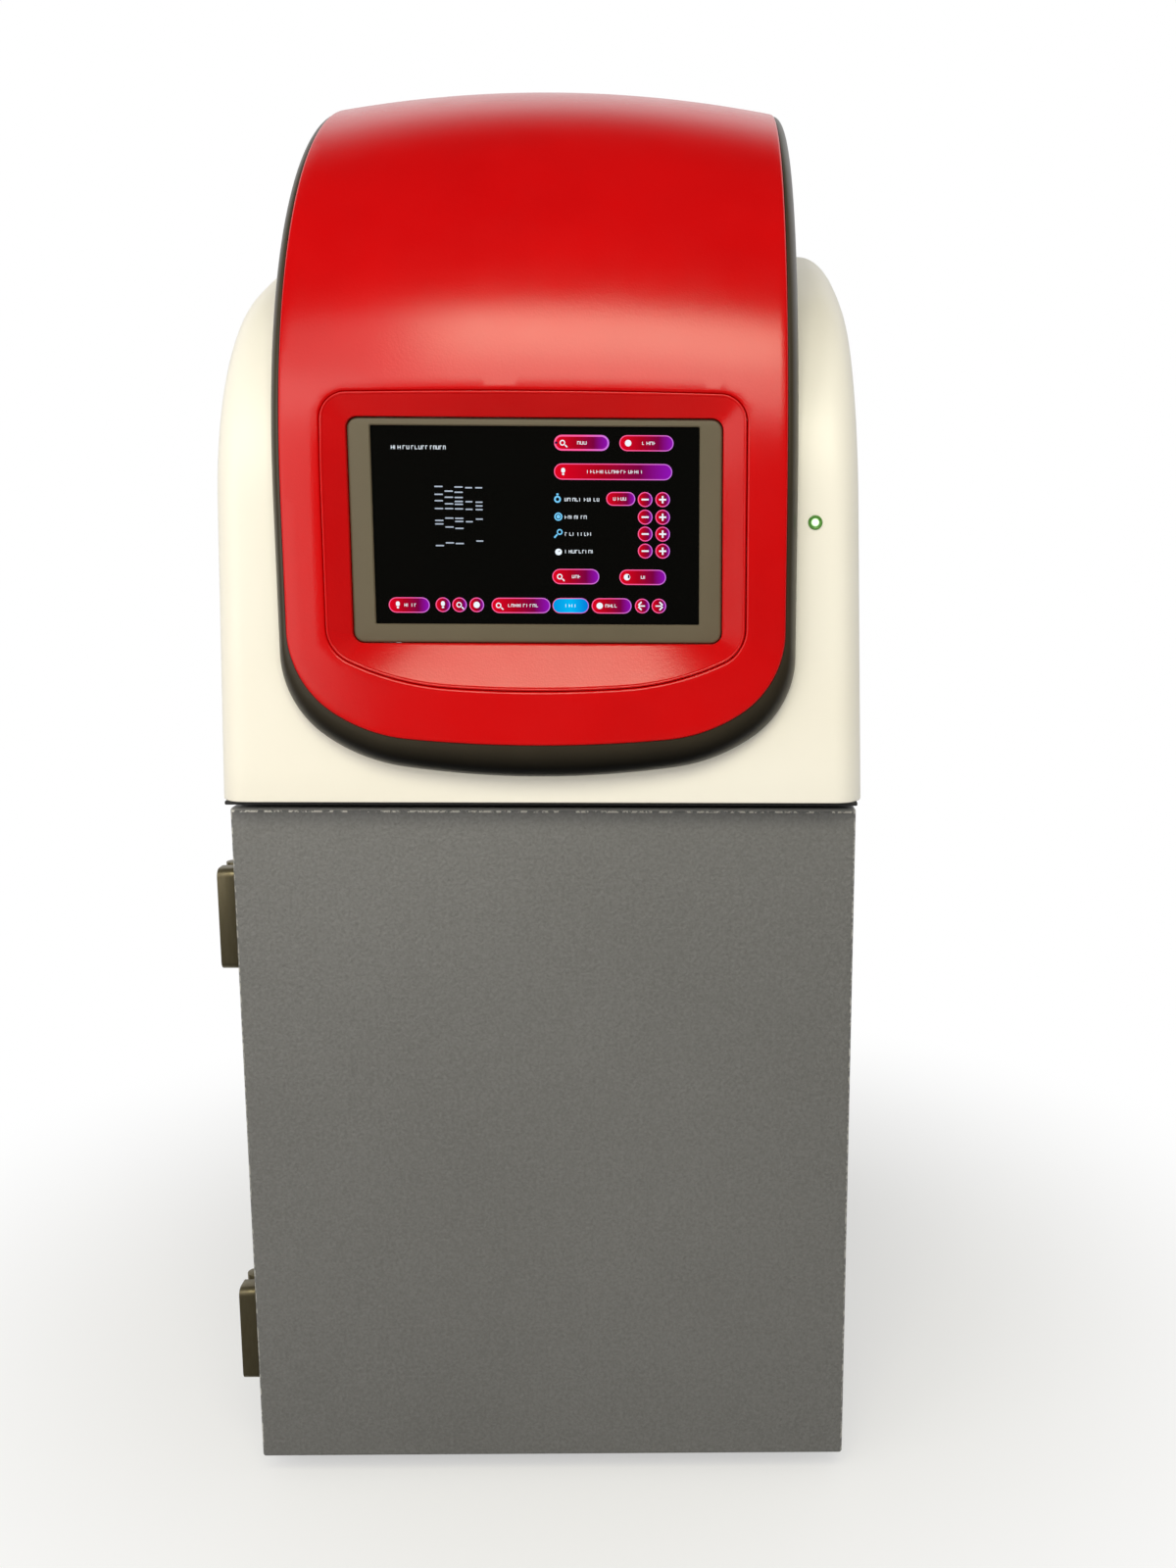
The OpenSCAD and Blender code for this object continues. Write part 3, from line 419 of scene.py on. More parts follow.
# Painted glow: the ring's green stands for the lens's green light falling on it.
made = finish("indicator_metal", "indicator_ring_green")
made.surface({
    "Base Color": made.mix(made.rise(made.noise(500, 2), 0.3, 0.7), paint(92, 150, 62), paint(70, 128, 48)),
    "Roughness": made.noise(700, 2) * 0.1 + 0.2})

made = finish("green_indicator", "indicator_lens_lit")
across = made.axis("X") - LED_AT[0] * MM
along = made.axis("Z") - LED_AT[1] * MM
from_middle = made.node(
    "ShaderNodeMath", {"operation": "SQRT"}, [across * across + along * along])
glow = made.rise(from_middle, 0.8 * MM, 2.4 * MM)
made.surface({
    "Base Color": made.mix(glow, paint(235, 250, 225), paint(110, 190, 80)),
    "Emission Color": made.mix(glow, paint(240, 255, 232), paint(60, 130, 40)),
    "Roughness": made.noise(300, 2) * 0.06 + 0.12})
made.shader.inputs["Emission Strength"].default_value = 0.9
print("indicator at", LED_AT, "mm")

# %% [markdown]
# ## Metals
# Inside and behind, the instrument is made of plated sheet, extruded aluminium, black anodised
# lens barrels and small brass pinions, and its hinges are satin bronze. Each metal has its own
# direction of wear: plated sheet shows long rolling marks, so its noise is stretched with
# a Mapping node, the hinges are brushed upright, and turned parts show rings along their height.

# %% Metal finishes
def metal(slot, name, light, dark, rough, grain, stretch, depth_mm=0.01, metallic=1.0):
    made = finish(slot, name)
    along = made.node("ShaderNodeMapping", inputs={"Vector": made.place(), "Scale": stretch})
    streak = made.node("ShaderNodeTexNoise", inputs={"Vector": along, "Scale": grain, "Detail": 3.0})
    made.surface({
        "Base Color": made.mix(streak, light, dark),
        "Metallic": metallic,
        "Roughness": streak * 0.18 + rough,
        "Normal": made.bump(streak, depth_mm)})


ROLLED = (1, 0.04, 1)
BRUSHED = (1, 1, 0.2)
TURNED = (0.05, 0.05, 1)
metal("zinc_steel", "zinc_plated_sheet", paint(196, 197, 196), paint(170, 172, 174), 0.26, 900, ROLLED)
metal("anodised_aluminium", "anodised_aluminium",
      paint(206, 208, 210), paint(188, 190, 193), 0.3, 1200, ROLLED)
metal("hinge_bronze", "hinge_bronze_satin",
      paint(124, 116, 94), paint(104, 96, 74), 0.3, 500, BRUSHED, 0.02, 0.75)
metal("lens_black", "black_anodised_lens",
      paint(52, 52, 54), paint(40, 40, 42), 0.3, 2400, TURNED, 0.006, 0.6)
metal("pinion_brass", "turned_brass", paint(214, 178, 98), paint(190, 150, 76), 0.22, 2400, TURNED, 0.006)
metal("port_metal", "stamped_port_steel", paint(202, 203, 204), paint(178, 180, 182), 0.24, 800, ROLLED)
metal("module_grey", "display_back_sheet", paint(150, 152, 156), paint(132, 134, 138), 0.32, 800, ROLLED)
print("finishes so far:", ", ".join(sorted(FINISHES)))

# %% [markdown]
# ## Plastics, rubber and foam
# Black housings have a fine spark grain, rubber is dull with a dusty bloom, and foam is full of
# small pores. One function covers them, with the grain, its depth and the gloss as its terms.

# %% Plastic finishes
def moulded(slot, name, light, dark, rough, grain, depth_mm):
    made = finish(slot, name)
    speck = made.noise(grain, 3)
    made.surface({
        "Base Color": made.mix(made.rise(made.noise(25, 3), 0.3, 0.7), light, dark),
        "Roughness": speck * 0.14 + rough,
        "Normal": made.bump(speck, depth_mm)})


moulded("black_plastic", "black_grained_plastic", paint(40, 40, 42), paint(32, 32, 34), 0.4, 1400, 0.03)
moulded("rocker_black", "rocker_satin_plastic", paint(36, 36, 38), paint(30, 30, 32), 0.26, 1600, 0.012)
moulded("rubber", "foot_rubber", paint(42, 41, 40), paint(54, 52, 50), 0.62, 700, 0.05)
moulded("foam_seal", "cell_foam_seal", paint(34, 34, 35), paint(26, 26, 27), 0.8, 1100, 0.16)
moulded("nylon_white", "natural_nylon", paint(228, 226, 216), paint(218, 216, 205), 0.36, 900, 0.02)
moulded("board_green", "board_solder_mask", paint(30, 98, 60), paint(22, 82, 48), 0.25, 300, 0.02)
print("plastics, rubber and foam are mixed")

# %% [markdown]
# ## Light table glass
# The filter glass over the tubes is nearly black with a violet cast, the lamp tubes are milky
# with phosphor, the side lamps hide behind opal covers, and the emission filter is deep orange.
# All are polished, so their colour drifts only slightly and their gloss is high.

# %% Glass finishes
def polished(slot, name, light, dark, rough, coat_weight=0.0):
    made = finish(slot, name)
    made.surface({
        "Base Color": made.mix(made.noise(15, 2), light, dark),
        "Roughness": made.noise(40, 2) * 0.04 + rough})
    made.shader.inputs["Coat Weight"].default_value = coat_weight


polished("uv_glass", "violet_filter_glass", paint(44, 30, 74), paint(34, 22, 60), 0.04, 0.6)
polished("tube_glass", "phosphor_tube", paint(236, 236, 244), paint(226, 226, 238), 0.12, 0.4)
polished("orange_filter", "orange_filter_glass", paint(212, 96, 24), paint(196, 80, 18), 0.05, 0.6)
polished("opal_diffuser", "opal_cover", paint(240, 239, 232), paint(232, 231, 222), 0.3)
print(len(FINISHES), "finishes")

# %% [markdown]
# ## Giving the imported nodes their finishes
# Every node names a material slot in the record. Replacing the one material on each node
# by the finish of that slot dresses the whole frame at once. The nodes themselves are not moved.

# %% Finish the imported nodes
slot_of = {part["node"]: part["material_slot"] for part in frame["record"]["subparts"]}
body_of = {node: body for body, nodes in frame["record"]["behaviour"]["bodies"].items() for node in nodes}
for node, packed in frame["nodes"].items():
    for holder in packed.material_slots:
        holder.material = FINISHES[slot_of[node]].material
print(len(slot_of), "nodes finished")

# %% [markdown]
# ## Making a piece
# New pieces are closed skins. `Skin` collects corners in millimetres and faces, so a piece can
# be put together from several solids. When it is finished it merges doubled corners,
# counts edges that are left open, and turns the faces outwards if the volume comes out negative.

# %% Skins
def volume_of(shape):
    total = 0
    for face in shape.faces:
        first = face.verts[0].co
        for second, third in zip(face.verts[1:-1], face.verts[2:]):
            total += first.dot(second.co.cross(third.co)) / 6
    return total


class Skin:
    """Corners and faces of one piece, in millimetres."""

    merged = True

    def __init__(self, name):
        self.name = name
        self.corners = []
        self.faces = []

    def add(self, corners, faces):
        start = len(self.corners)
        self.corners.extend(tuple(corner) for corner in corners)
        self.faces.extend([start + index for index in face] for face in faces)
        return self

    def finish(self, slot, body="root", stands_for=(), smooth=35, material=None):
        mesh = bpy.data.meshes.new(self.name)
        mesh.from_pydata(in_metres(self.corners), [], self.faces)
        tidy = bmesh.new()
        tidy.from_mesh(mesh)
        if self.merged:
            bmesh.ops.remove_doubles(tidy, verts=tidy.verts, dist=1e-6)
        open_edges = sum(1 for edge in tidy.edges if len(edge.link_faces) != 2)
        if volume_of(tidy) < 0:
            bmesh.ops.reverse_faces(tidy, faces=tidy.faces)
        tidy.to_mesh(mesh)
        tidy.free()
        mesh.materials.append(material or FINISHES[slot].material)
        smoothed(mesh, smooth)
        settle(put_in_scene(self.name, mesh), body, stands_for)
        print(f"{self.name}: {len(mesh.polygons)} faces, {open_edges} open edges")


def smoothed(mesh, sharp_from):
    mesh.shade_smooth()
    mesh.set_sharp_from_angle(angle=math.radians(sharp_from))


def settle(piece, body="root", stands_for=()):
    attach(piece, body)
    if stands_for:
        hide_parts(*stands_for)


print("skins can be made")

# %% [markdown]
# ## Lofts
# Many covers are a row of outlines joined one to the next, like the ribs of a boat.
# All outlines have the same number of corners. A loft is closed either by two end caps
# or by joining the last outline to the first, which makes a ring such as a picture frame.

# %% Lofts and prisms
def loft(loops, ring=False):
    count = len(loops[0])
    corners = [corner for loop in loops for corner in loop]
    faces = []
    for row in range(len(loops) if ring else len(loops) - 1):
        here, there = row * count, (row + 1) % len(loops) * count
        for k in range(count):
            after = (k + 1) % count
            faces.append([here + k, here + after, there + after, there + k])
    if not ring:
        last = (len(loops) - 1) * count
        faces.append(list(range(count - 1, -1, -1)))
        faces.append([last + k for k in range(count)])
    return corners, faces


def at_y(outline, y):
    return [(x, y, z) for x, z in outline]


def prism(outline, front, back):
    return loft([at_y(outline, front), at_y(outline, back)])


def frame_prism(outer, inner, front, back):
    return loft([at_y(outer, front), at_y(outer, back), at_y(inner, back), at_y(inner, front)], ring=True)


def rounded_outline(low, high, radius, steps=6):
    (x0, z0), (x1, z1) = low, high
    centres = [(x1 - radius, z1 - radius), (x0 + radius, z1 - radius),
               (x0 + radius, z0 + radius), (x1 - radius, z0 + radius)]
    return [(cx + radius * math.cos(math.radians(90 * (k + i / steps))),
             cz + radius * math.sin(math.radians(90 * (k + i / steps))))
            for k, (cx, cz) in enumerate(centres) for i in range(steps + 1)]


print("a rounded plate has", len(rounded_outline((0, 0), (9, 9), 2)), "corners")

# %% [markdown]
# ## Side outlines
# Seen from the side, the hood is an upright front, a shoulder arc, a long shallow arc to the back
# and a tight rear corner. The visor is half a superellipse, a curve between an ellipse and a
# rectangle, on an upright foot. Both are followed as paths with a direction at every point,
# because the direction gives the surface normal that walls and roundings are measured along.

# %% Walking along arcs
HOOD_FRONT_LEG = 143
SHOULDER_R, CROWN_R, REAR_R = 116, 534, 44
LEAN = 25
MOUTH_FOOT = 436.0
COVER_SHOULDER = 585.0


def walk(start, heading, legs):
    """Points along straight legs (length, 0, steps) and arcs (radius, clockwise turn, steps)."""
    path = [(*start, heading)]
    for size, turn, steps in legs:
        y, z, first = path[-1]
        before = math.radians(first)
        for i in range(1, steps + 1):
            now = first - turn * i / steps
            after = math.radians(now)
            if turn == 0:
                reach = size * i / steps
                path.append((y + reach * math.cos(before), z + reach * math.sin(before), now))
            else:
                radius = math.copysign(size, turn)
                path.append((y + radius * (math.sin(before) - math.sin(after)),
                             z + radius * (math.cos(after) - math.cos(before)), now))
    return path


def with_normals(path):
    return np.array([(y, z, -math.sin(math.radians(h)), math.cos(math.radians(h))) for y, z, h in path])


hood_depth = hood_high[1] - hood_low[1]
rear_reach = hood_depth - SHOULDER_R * (1 - math.sin(math.radians(LEAN))) \
    - CROWN_R * math.sin(math.radians(LEAN)) - REAR_R
rear_turn = math.degrees(math.asin(rear_reach / (CROWN_R - REAR_R)))
to_mouth = MOUTH_FOOT - hood_low[2]
hood_path = walk((hood_low[1], hood_low[2]), 90, [
    (to_mouth, 0, 4), (HOOD_FRONT_LEG - to_mouth, 0, 4), (SHOULDER_R, 90 - LEAN, 20),
    (CROWN_R, LEAN + rear_turn, 24), (REAR_R, 90 - rear_turn, 12)])
rear_end = hood_path[-1]
hood_path = hood_path[:-1] + walk(rear_end[:2], -90, [
    (rear_end[1] - COVER_SHOULDER, 0, 2), (COVER_SHOULDER - hood_low[2], 0, 6)])
hood_side = with_normals(hood_path)
print("hood outline: rear corner starts at", round(rear_turn, 1), "degrees")
print("hood outline: top at", round(hood_side[:, 1].max(), 1), "mm")

# %% [markdown]
# ## Hood
# The hood is one thin moulding. Its front, top and back follow the side outline, its long edges
# are rounded, and its sides lean in by a few degrees of draft, so it comes out of the mould.
# It could be carved from a block, but a moulding is a sheet: the outer face is built as a grid
# of columns across and rows along the outline, the faces over the mouth and the open back are
# left out, Solidify gives it a wall, and a small Bevel softens every rim.

# %% Hood grid
EDGE_R, EDGE_STEPS = 14, 8
EDGE_MARGIN = 1.5
CHEEK_STRIP = 8
DRAFT_LOSS, DRAFT_HEIGHT = 14, 242
UNDER_VISOR = 5
LEFT_CHEEK = 4
FACES_BACK = 0.95
hood_half = (hood_high[0] - hood_low[0]) / 2
mouth_half = visor_high[0] - UNDER_VISOR


def drafted(z):
    return 1 - (z - hood_low[2]) / DRAFT_HEIGHT * DRAFT_LOSS / (2 * hood_half)


def hood_columns():
    """(place across, inset from the outline, keeps its width) for each column, left to right."""
    right = [(mouth_half, 0, True), (mouth_half + CHEEK_STRIP, 0, True),
             (hood_half - EDGE_R - EDGE_MARGIN, 0, False)]
    for step in range(EDGE_STEPS + 1):
        turn = math.radians(90 * step / EDGE_STEPS)
        right.append((hood_half - EDGE_R + EDGE_R * math.sin(turn), EDGE_R * (1 - math.cos(turn)), False))
    right.append((hood_half, EDGE_R + 2, False))
    return [(-x, inset, keeps) for x, inset, keeps in reversed(right)] + right


def hood_point(row, column):
    y, z, ny, nz = hood_side[row]
    x, inset, keeps = column
    z_here = max(z - nz * inset, hood_low[2])
    return (x if keeps else x * drafted(z_here), y - ny * inset, z_here)


columns = hood_columns()
rows = len(hood_side)
corners = [hood_point(row, column) for row in range(rows) for column in columns]
wide = len(columns)
left_mouth = [column[0] for column in columns].index(-mouth_half)
faces = []
for row in range(rows - 1):
    middle = (hood_side[row][:2] + hood_side[row + 1][:2]) / 2
    at_back = hood_side[row][2] > FACES_BACK
    for k in range(wide - 1):
        in_mouth = left_mouth <= k < wide - 1 - left_mouth and (middle[1] > MOUTH_FOOT or at_back)
        in_back = LEFT_CHEEK <= k < wide - 1 - LEFT_CHEEK and at_back and middle[1] < COVER_SHOULDER
        if not (in_mouth or in_back):
            here = row * wide + k
            faces.append([here, here + 1, here + wide + 1, here + wide])
faces.append([row * wide for row in range(rows)])
faces.append([row * wide + wide - 1 for row in reversed(range(rows))])
print("hood grid:", rows, "rows of", wide, "corners")

# %% [markdown]
# Modifiers are only recipes until the object is evaluated. `baked` evaluates an object,
# keeps the resulting mesh and drops the recipe, so the piece that rides on the frame is plain.

# %% Hood wall and rims
HOOD_WALL, HOOD_RIM = 3.5, 0.9


def baked(piece):
    graph = bpy.context.evaluated_depsgraph_get()
    mesh = bpy.data.meshes.new_from_object(piece.evaluated_get(graph))
    piece.modifiers.clear()
    piece.data = mesh
    return piece


def facing(mesh, towards):
    """Merges doubled corners, drops loose ones, and turns the faces to one side."""
    tidy = bmesh.new()
    tidy.from_mesh(mesh)
    bmesh.ops.remove_doubles(tidy, verts=tidy.verts, dist=1e-6)
    bmesh.ops.recalc_face_normals(tidy, faces=tidy.faces)
    face = max(tidy.faces, key=lambda item: item.calc_center_median().dot(towards))
    if face.normal.dot(towards) < 0:
        bmesh.ops.reverse_faces(tidy, faces=tidy.faces)
    loose = [vertex for vertex in tidy.verts if not vertex.link_faces]
    bmesh.ops.delete(tidy, geom=loose, context="VERTS")
    tidy.to_mesh(mesh)
    tidy.free()


def bevel(piece, width_mm, segments, angle):
    edge = piece.modifiers.new("edge", "BEVEL")
    edge.width = width_mm * MM
    edge.segments = segments
    edge.limit_method = "ANGLE"
    edge.angle_limit = math.radians(angle)


mesh = bpy.data.meshes.new("hood_moulding")
mesh.from_pydata(in_metres(corners), [], faces)
facing(mesh, Vector((0, -1, 0)))
mesh.materials.append(FINISHES["cream_moulding"].material)
hood = put_in_scene("hood_moulding", mesh)
wall = hood.modifiers.new("wall", "SOLIDIFY")
wall.thickness = HOOD_WALL * MM
wall.offset = -1
wall.use_even_offset = True
bevel(hood, HOOD_RIM, 3, 50)
baked(hood)
smoothed(hood.data, 32)
settle(hood, stands_for=["hood_shell"])
print("hood:", len(hood.data.polygons), "faces")

# %% [markdown]
# ## Visor surface
# The visor's surface is easiest to think of as a flat pattern that is bent over its outline:
# one number runs across the width and the other is the length along the side outline.
# The middle of the sheet is crowned, by a few millimetres in front and more on top.
# With such a map, every cut in the visor is drawn flat and then laid on the surface.

# %% Visor map
VISOR_FOOT = 142
CREST = 367
VISOR_N = 2.2
VISOR_MIDDLE_Y, VISOR_HALF_DEPTH = 33.0, 255
CROWN_FRONT, CROWN_TOP = 5, 10
FOOT_STEPS, OVER_STEPS = 59, 1600
visor_half_w = (visor_high[0] - visor_low[0]) / 2
centre_z = hood_low[2] + VISOR_FOOT
rise_z = CREST - VISOR_FOOT


def superellipse(samples):
    turn = np.linspace(0, math.pi, samples)
    cosine, sine = np.cos(turn), np.abs(np.sin(turn))
    y = VISOR_MIDDLE_Y - np.sign(cosine) * VISOR_HALF_DEPTH * np.abs(cosine) ** (2 / VISOR_N)
    z = centre_z + rise_z * sine ** (2 / VISOR_N)
    power = 2 * (VISOR_N - 1) / VISOR_N
    normal = np.stack([-np.sign(cosine) * np.abs(cosine) ** power / VISOR_HALF_DEPTH,
                       sine ** power / rise_z], 1)
    return y, z, normal / np.linalg.norm(normal, axis=1)[:, None]


over_y, over_z, over_n = superellipse(OVER_STEPS)
foot_z = np.linspace(hood_low[2], centre_z, FOOT_STEPS + 1)[:-1]
visor_y = np.concatenate([np.full(FOOT_STEPS, VISOR_MIDDLE_Y - VISOR_HALF_DEPTH), over_y])
visor_z = np.concatenate([foot_z, over_z])
visor_n = np.concatenate([np.tile([-1.0, 0.0], (FOOT_STEPS, 1)), over_n])
visor_s = np.concatenate([[0], np.cumsum(np.hypot(np.diff(visor_y), np.diff(visor_z)))])


def along_visor(s):
    """Outline point and normal at length s, as columns y, z, ny, nz."""
    return np.stack([np.interp(s, visor_s, values) for values in
                     (visor_y, visor_z, visor_n[:, 0], visor_n[:, 1])], 1)


def crown_at(x, nz):
    share = np.clip(1 - (x / visor_half_w) ** 2, 0, None)
    return (CROWN_FRONT + (CROWN_TOP - CROWN_FRONT) * np.clip(nz, 0, None)) * share


def on_visor(flat, depth=0.0):
    """Lays flat pattern points (across, along) on the visor, sunk by a depth."""
    flat = np.asarray(flat, float).reshape(-1, 2)
    y, z, ny, nz = along_visor(flat[:, 1]).T
    lift = crown_at(flat[:, 0], nz) - depth
    return np.stack([flat[:, 0], y + ny * lift, z + nz * lift], 1)


def length_at(z):
    """Length along the front of the outline at which it reaches height z."""
    crest = int(np.argmax(visor_z))
    return np.interp(z, visor_z[:crest], visor_s[:crest])


def end_length(x, plane_y):
    """Length at which the crowned surface at x passes a plane across the back."""
    past_crest = visor_s[int(np.argmax(visor_z)):-2]
    y = on_visor(np.stack([np.full(len(past_crest), x), past_crest], 1))[:, 1]
    return float(np.interp(plane_y, y, past_crest))


print("visor sheet: about", round(end_length(0, hood_high[1])), "mm from foot to back edge")

# %% [markdown]
# ## Shield outlines
# From the front, the visor and the trim end in a shield: a very flat arc at the bottom, a
# tighter one towards each side, and a last one that turns into the straight side.
# The last radius isn't chosen, it is what remains of the half width.

# %% Shield arcs
def shield_half(half, foot, first, second):
    """Half of a shield from the bottom middle to the side, as (across, height)."""
    (r1, a1), (r2, a2) = first, second
    s1, s2 = math.sin(math.radians(a1)), math.sin(math.radians(a2))
    last = (half - r1 * s1 - r2 * (s2 - s1)) / (1 - s2)
    legs = zip((r1, r2, last), (-a1, a1 - a2, a2 - 90), ARC_STEPS)
    return [(x, z) for x, z, _ in walk((0, foot), 0, legs)]


ARC_STEPS = (8, 14, 18)
VISOR_ARCS = ((700, 5), (76.5, 33))
TRIM_ARCS = ((469, 8), (86, 35))
RECESS_ARCS = ((600, 4), (130, 25))
TRIM_FOOT = 386
RECESS_HALF, RECESS_FOOT, RECESS_TOP = 97.8, 428.4, 564.2
trim_half_w = (trim_high[0] - trim_low[0]) / 2
visor_shield = shield_half(visor_half_w, visor_low[2], *VISOR_ARCS)
trim_shield = shield_half(trim_half_w, TRIM_FOOT, *TRIM_ARCS)
recess_shield = shield_half(RECESS_HALF, RECESS_FOOT, *RECESS_ARCS)


def whole(half):
    """Adds the mirrored left half to a right half that runs from the middle."""
    return list(half) + [(-x, z) for x, z in reversed(half) if x > 1e-6]


def flattened(half):
    return [(x, float(length_at(z))) for x, z in half]


print("visor turns straight at", round(visor_shield[-1][1], 1), "mm")
print("trim turns straight at", round(trim_shield[-1][1], 1), "mm")

# %% [markdown]
# ## Moulded sheets with rolled edges
# A real edge is never sharp. `moulded_sheet` takes a flat outline with holes, fills it with a fine
# triangle net, lays it on a surface, and rolls every edge over a small radius into a wall.
# The back is the same net, sunk by the wall's thickness, so the piece closes on itself.

# %% Sheet maker
KEEP_OFF = 0.6
ROLL_STEPS = 4


def offset_loop(loop, distance):
    """Moves a loop to its left by a distance, which is inwards when it runs counter-clockwise."""
    points = np.asarray(loop, float)
    before = points - np.roll(points, 1, 0)
    after = np.roll(points, -1, 0) - points
    before /= np.linalg.norm(before, axis=1)[:, None]
    after /= np.linalg.norm(after, axis=1)[:, None]
    left = np.stack([-(before + after)[:, 1], (before + after)[:, 0]], 1)
    left /= np.linalg.norm(left, axis=1)[:, None]
    share = np.clip(left[:, 1] * before[:, 0] - left[:, 0] * before[:, 1], 0.5, 1)
    return points + left * (distance / share)[:, None]


def inside(points, loop):
    x, y = points[:, 0], points[:, 1]
    result = np.zeros(len(points), bool)
    for (x0, y0), (x1, y1) in zip(loop, np.roll(loop, -1, 0)):
        if y1 != y0:
            crosses = (y0 > y) != (y1 > y)
            result ^= crosses & (x < (x1 - x0) * (y - y0) / (y1 - y0) + x0)
    return result


def in_material(points, loops):
    keep = inside(points, loops[0])
    for hole in loops[1:]:
        keep &= ~inside(points, hole)
    return keep


def flat_net(loops, spacing):
    """Triangles that fill an outline with holes: points, faces, and the loops' point numbers."""
    low, high = loops[0].min(0), loops[0].max(0)
    grid = np.stack(np.meshgrid(np.arange(low[0] + spacing / 2, high[0], spacing),
                                np.arange(low[1] + spacing / 2, high[1], spacing)), 2).reshape(-1, 2)
    grid = grid[in_material(grid, loops)]
    for loop in loops:
        gaps = np.linalg.norm(grid[:, None] - loop[None], axis=2).min(1)
        grid = grid[gaps > spacing * KEEP_OFF]
    points = np.concatenate([*loops, grid])
    edges, rings = [], []
    for loop in loops:
        start = sum(len(ring) for ring in rings)
        ring = list(range(start, start + len(loop)))
        edges.extend(zip(ring, ring[1:] + ring[:1]))
        rings.append(ring)
    corners = [Vector(point) for point in points]
    made, _, triangles, origins, _, _ = delaunay_2d_cdt(corners, edges, [], 0, 1e-5)
    number = {origin: index for index, origin_list in enumerate(origins) for origin in origin_list}
    made = np.array([tuple(point) for point in made])
    centres = np.array([made[list(face)].mean(0) for face in triangles])
    faces = [list(face) for face, kept in zip(triangles, in_material(centres, loops)) if kept]
    return made, faces, [[number[index] for index in ring] for ring in rings]


def strip(upper, lower):
    size = len(upper)
    return [[upper[k], lower[k], lower[(k + 1) % size], upper[(k + 1) % size]] for k in range(size)]


def moulded_sheet(name, outline, holes, lay, wall, roll, spacing):
    edges = [np.asarray(outline, float)] + [np.asarray(hole, float)[::-1] for hole in holes]
    starts = [offset_loop(edge, roll) for edge in edges]
    flat, faces, rings = flat_net(starts, spacing)
    corners = [*lay(flat, 0.0), *lay(flat, wall)]
    faces = faces + [[index + len(flat) for index in reversed(face)] for face in faces]
    turns = [math.pi / 2 * k / ROLL_STEPS for k in range(1, ROLL_STEPS + 1)]
    for ring, edge, start in zip(rings, edges, starts):
        rows = [(start + (edge - start) * math.sin(turn), roll * (1 - math.cos(turn))) for turn in turns]
        previous = ring
        for place, depth in rows + [(edge, wall)]:
            row = list(range(len(corners), len(corners) + len(edge)))
            corners.extend(lay(place, depth))
            faces.extend(strip(previous, row))
            previous = row
        faces.extend(strip(previous, [index + len(flat) for index in ring]))
    return Skin(name).add(corners, faces)


print("sheets with rolled edges can be made")

# %% [markdown]
# ## Visor
# The outline of the visor is the shield at the foot, the two straight sides, and the back edge
# that is cut along a plane. The hole for the screen is the recess outline, let out by the width
# of a fine gap, so the insert shows a thin dark line round it.

# %% Visor sheet
VISOR_WALL, VISOR_ROLL = 3.0, 1.3
RECESS_GAP = 0.35
RECESS_CORNER = 12
SIDE_STEPS, CORNER_STEPS, TOP_STEPS = 25, 12, 23
EDGE_STEP, NET_SPACING, BACK_STEPS = 3.5, 3.6, 29
back_plane = hood_high[1]


def even_steps(start, end, steps):
    """Even steps from start to end, without the start."""
    return np.linspace(start, end, steps + 1)[1:]


def upper_half(half, foot, top, radius):
    """The straight side from a foot, the upper corner and half of the top edge."""
    side = [(half, z) for z in even_steps(foot, top - radius, SIDE_STEPS)]
    corner = [(half - radius * (1 - math.cos(turn)), top - radius * (1 - math.sin(turn)))
              for turn in even_steps(0, math.pi / 2, CORNER_STEPS)]
    return side + corner + [(x, top) for x in even_steps(half - radius, 0, TOP_STEPS)]


recess_half = recess_shield + upper_half(RECESS_HALF, recess_shield[-1][1], RECESS_TOP, RECESS_CORNER)
recess_loop = np.array(flattened(whole(recess_half)))
shield_flat = flattened(visor_shield)
shield_end = shield_flat[-1][1]
side_end = end_length(visor_half_w, back_plane)
side_steps = int((side_end - shield_end) / EDGE_STEP) - 1
visor_half = shield_flat + [(visor_half_w, s) for s in even_steps(shield_end, side_end, side_steps)]
back_edge = [(x, end_length(x, back_plane)) for x in even_steps(visor_half_w, 0, BACK_STEPS)]
visor = moulded_sheet("visor_moulding", whole(visor_half + back_edge),
                      [offset_loop(recess_loop, -RECESS_GAP)], on_visor,
                      VISOR_WALL, VISOR_ROLL, NET_SPACING)
visor.finish("red_moulding", stands_for=["visor"], smooth=50)

# %% [markdown]
# ## Trim bead
# A dark bead fills the step between the visor and the hood. It is wide under the shield and narrow
# along the sides, where a straight cheek continues down to the hood.
# It is a loft of closed sections that ride along the visor's edge: each starts under the visor,
# rolls outwards over a quarter ellipse and drops until it is buried a little in the hood.

# %% Trim sections
BEAD_START, BEAD_DROP = 0.9, 11.0
BEAD_INSIDE = 5.0
BEAD_UNDER = VISOR_WALL + 0.3
BEAD_EDGE = 0.15
BURIED = 1.0
SIDE_STATIONS = 109
depths = np.arange(0, 140, 0.25)
hood_polygon = hood_side[:, :2]


def depth_to_hood(s):
    """How far the hood lies under the uncrowned visor outline, along its normal."""
    y, z, ny, nz = along_visor([s])[0]
    rays = np.stack([y - ny * depths, z - nz * depths], 1)
    return float(depths[np.argmax(inside(rays, hood_polygon))])


